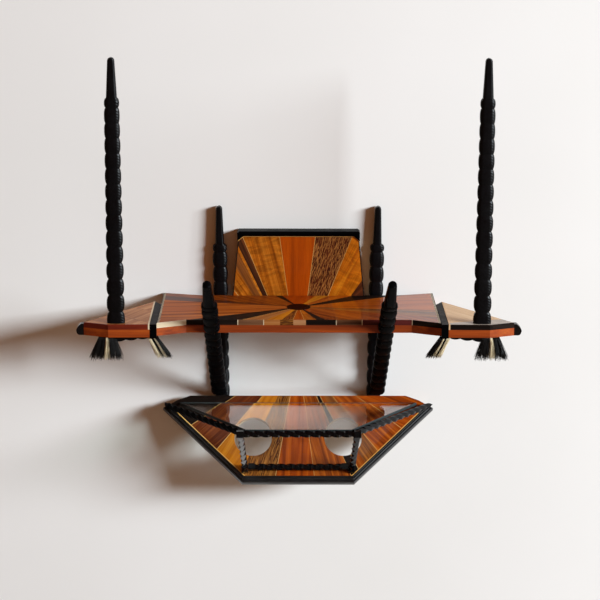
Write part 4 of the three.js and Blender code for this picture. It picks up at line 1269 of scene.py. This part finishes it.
def buildSideBar(name):
    r = railing
    side = sides[name]
    back = at(side * r["sideBackOut"], -r["sideBackDepth"], -r["drop"])
    front = at(side * r["sideFrontOut"], -r["frontDepth"] + r["collar"] / 2, -r["drop"])
    along = (front - back).normalized()
    behindFrontBar = (at(0, -r["frontDepth"] + r["collar"] / 2 + r["fit"], 0), Vector((0, 1, 0)))
    overTray = (onTray(0, 0, r["mouldingRise"] + r["fit"]), trayUp)
    start = back - along * (r["collar"] + r["collarLength"]) * mm
    end = front + along * r["collar"] * mm
    buildRail(
        "twisted_side_bar_" + name, "gallery_bar_" + name, start, end, levelUp,
        [behindFrontBar, overTray], railShadeAndHighlight[name]["bar"])


def buildStrut(name):
    r = railing
    side = sides[name]
    foot = onTray(side * r["strutFootOut"], slabFoot - r["strutFootUp"])
    top = at(side * r["strutTopOut"], -r["frontDepth"] + r["strutTopIn"], -r["drop"])
    rise = (top - foot).normalized()
    underBars = (at(0, 0, -r["drop"] - railReach - r["fit"]), -levelUp)
    overTray = (onTray(0, 0, r["fit"]), trayUp)
    buildRail(
        "twisted_strut_" + name, "gallery_strut_" + name, foot - rise * r["collar"] / 2 * mm, top,
        Vector((0, 1, 0)), [underBars, overTray], railShadeAndHighlight[name]["strut"])


def buildStopBar():
    r = railing
    half = r["strutFootOut"] - r["collar"] / 2 - r["fit"]
    ends = [onTray(side * half, slabFoot - r["stopUp"], railReach + r["fit"]) for side in sides.values()]
    buildRail("twisted_stop_bar", "tray_stop_bar", *ends, trayUp)


# The glass pane, clear above and below, with ground edges
pane = {"backHalf": 238.5, "edge": 0.7}


def buildPane():
    r = railing
    low, high = [Vector(corner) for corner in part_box("glass_pane")]
    barBack = at(r["sideBackOut"], -r["sideBackDepth"])
    barFront = at(r["sideFrontOut"], -r["frontDepth"] + r["collar"] / 2)
    run = (barFront - barBack).normalized()
    inside = barBack + Vector((run.y, -run.x)) * (railReach + 2 * r["fit"]) * mm
    corner = lineCrossing(inside, run, Vector((0, low.y)), Vector((1, 0)))
    outline = bothHalves([corner, Vector((pane["backHalf"] * mm, high.y))])
    mesh = slabMesh(outline, low.z, high.z, pane["edge"] * mm)
    piece = newPiece("pane", mesh, [clearGlass, glassEdge], "glass_pane")
    for face in piece.data.polygons:
        face.material_index = 0 if abs(face.normal.z) > 0.9 else 1


buildFrontBar()
for sideName in sides:
    buildSideBar(sideName)
    buildStrut(sideName)
buildStopBar()
buildPane()
print("Twisted bars and glass made")


# Bristle tufts, with bands of two shades and their widths from the inner side outwards
tufts = {
    "outer": {
        "middle": 362, "width": 29, "depth": 9, "front": 238, "top": 25, "length": 44, "fanWidth": 60,
        "fanDepth": 16, "lean": 2, "bands": [("dark", 12), ("pale", 5), ("dark", 12)],
    },
    "gap": {
        "middle": 276.5, "width": 19, "depth": 9, "front": 239, "top": 27, "length": 38, "fanWidth": 25,
        "fanDepth": 12, "lean": -22, "bands": [("dark", 6), ("pale", 3), ("dark", 4), ("pale", 6)],
    },
}
bristles = {
    "across": 0.5, "deep": 0.9, "thickness": 0.42, "sink": 1.5, "bandMargin": 0.2, "depthMargin": 1,
    "firstSeed": 3,
}
bristleRule = bristleTree()


def buildTuft(kind, name):
    t = tufts[kind]
    b = bristles
    side = sides[name]
    place = at(side * t["middle"], t["depth"] / 2 - t["front"], b["sink"] - t["top"])
    left = -t["width"] / 2
    for number, (shade, width) in enumerate(t["bands"]):
        low, high = (left, left + width) if side > 0 else (-left - width, -left)
        strands = bristleRule.run(f"bristles_{kind}_{name}_{number}", {
            "Width": t["width"] * mm, "Depth": (t["depth"] - b["depthMargin"]) * mm,
            "Across": max(2, round(width / b["across"])), "Deep": round(t["depth"] / b["deep"]),
            "Length": (t["length"] + b["sink"]) * mm, "Fan width": t["fanWidth"] * mm,
            "Fan depth": t["fanDepth"] * mm, "Lean": side * t["lean"] * mm,
            "From": (low + b["bandMargin"]) * mm, "To": (high - b["bandMargin"]) * mm,
            "Thickness": b["thickness"] * mm, "Seed": number + b["firstSeed"],
            "Material": bristleMaterials[shade]}, Matrix.Translation(place))
        for face in strands.data.polygons:
            face.use_smooth = True
        declare(strands, f"tuft_{kind}_{name}")
        left += width


for sideName in sides:
    for tuftKind in tufts:
        buildTuft(tuftKind, sideName)
print("Tufts bound")

dashRule = dashTree()


# Rope stringing: dark dashes on the pale strip along both ends of the shelf's top
def buildRope(name):
    side = sides[name]
    s = shelfTop
    length = s["front"] + s["flare"] - 2 * rope["inset"]
    middle = side * (s["halfWidth"] - rope["inset"] - rope["width"] / 2)
    start = Matrix.Translation(at(middle, -rope["inset"], rope["rise"]))
    cuts = dashRule.run("rope_dashes_" + name, {
        "Length": length * mm, "Pitch": rope["pitch"] * mm, "Dash": rope["dash"] * mm,
        "Width": rope["width"] * mm, "Height": rope["height"] * mm, "Slant": side * rope["slant"],
        "Material": woodMaterials["ebony"]}, start @ Matrix.Rotation(-math.pi / 2, 4, "Z"))
    declare(cuts, "shelf_marquetry")


for sideName in sides:
    buildRope(sideName)
print("Rope stringing laid")


# Room: a wall and a floor, both seen through from behind, and soft light from the upper right
room = {  # metres
    "wall": ("e5e2de", "ebe8e5"), "floor": ("78664f", "806e5a"), "beyond": "e8e4e0",
    "wallY": 0.002, "wallHalf": 2.4, "wallLow": -1.1, "wallHigh": 2.2, "floorReach": 5,
}
lamp = {  # metres and watts
    "place": (8.5, -5.0, 2.6), "aim": (0, 0, -0.02), "width": 4.2, "height": 1.8, "power": 2120,
    "colour": "ebf6fd",
}
fill = {"colour": "ffa768", "strength": 0.19}


def stagePlane(name, corners):
    mesh = bmesh.new()
    mesh.faces.new([mesh.verts.new(c) for c in corners])
    plane = addObject(name, meshData(name, mesh))
    plane.data.materials.append(paintMaterial(name + "_paint", *room[name]))


def setStage():
    r = room
    y, half, low, high, reach = r["wallY"], r["wallHalf"], r["wallLow"], r["wallHigh"], r["floorReach"]
    stagePlane("wall", [(-half, y, low), (half, y, low), (half, y, high), (-half, y, high)])
    ground = [(-reach, -reach, low), (reach, -reach, low), (reach, reach, low), (-reach, reach, low)]
    stagePlane("floor", ground)


def setLamp():
    light = bpy.data.lights.new("window", "AREA")
    light.shape = "RECTANGLE"
    light.size = lamp["width"]
    light.size_y = lamp["height"]
    light.energy = lamp["power"]
    light.color = tone(lamp["colour"])[:3]
    fixture = addObject("window", light)
    fixture.location = lamp["place"]
    aimAlong(fixture, Vector(lamp["aim"]) - Vector(lamp["place"]))


# A warm fill on every piece, with a pale room where the camera looks past the wall
def setWorld():
    world = bpy.data.worlds.new("room_light")
    bpy.context.scene.world = world
    world.use_nodes = True
    tree = world.node_tree
    glow = setInputs(tree.nodes["Background"], Color=tone(fill["colour"]), Strength=fill["strength"])
    beyond = setInputs(addNode(tree, "ShaderNodeBackground"), Color=tone(room["beyond"]), Strength=1)
    rays = addNode(tree, "ShaderNodeLightPath").outputs
    seen = addNode(tree, "ShaderNodeMath", operation="MAXIMUM")
    tree.links.new(rays["Is Camera Ray"], seen.inputs[0])
    tree.links.new(rays["Is Transmission Ray"], seen.inputs[1])
    chooseShader(
        tree, seen.outputs[0], glow.outputs["Background"], beyond.outputs["Background"], "World Output")


setStage()
setLamp()
setWorld()
bpy.context.scene.view_settings.view_transform = "Standard"
print("Room set")

print("Scene ready")
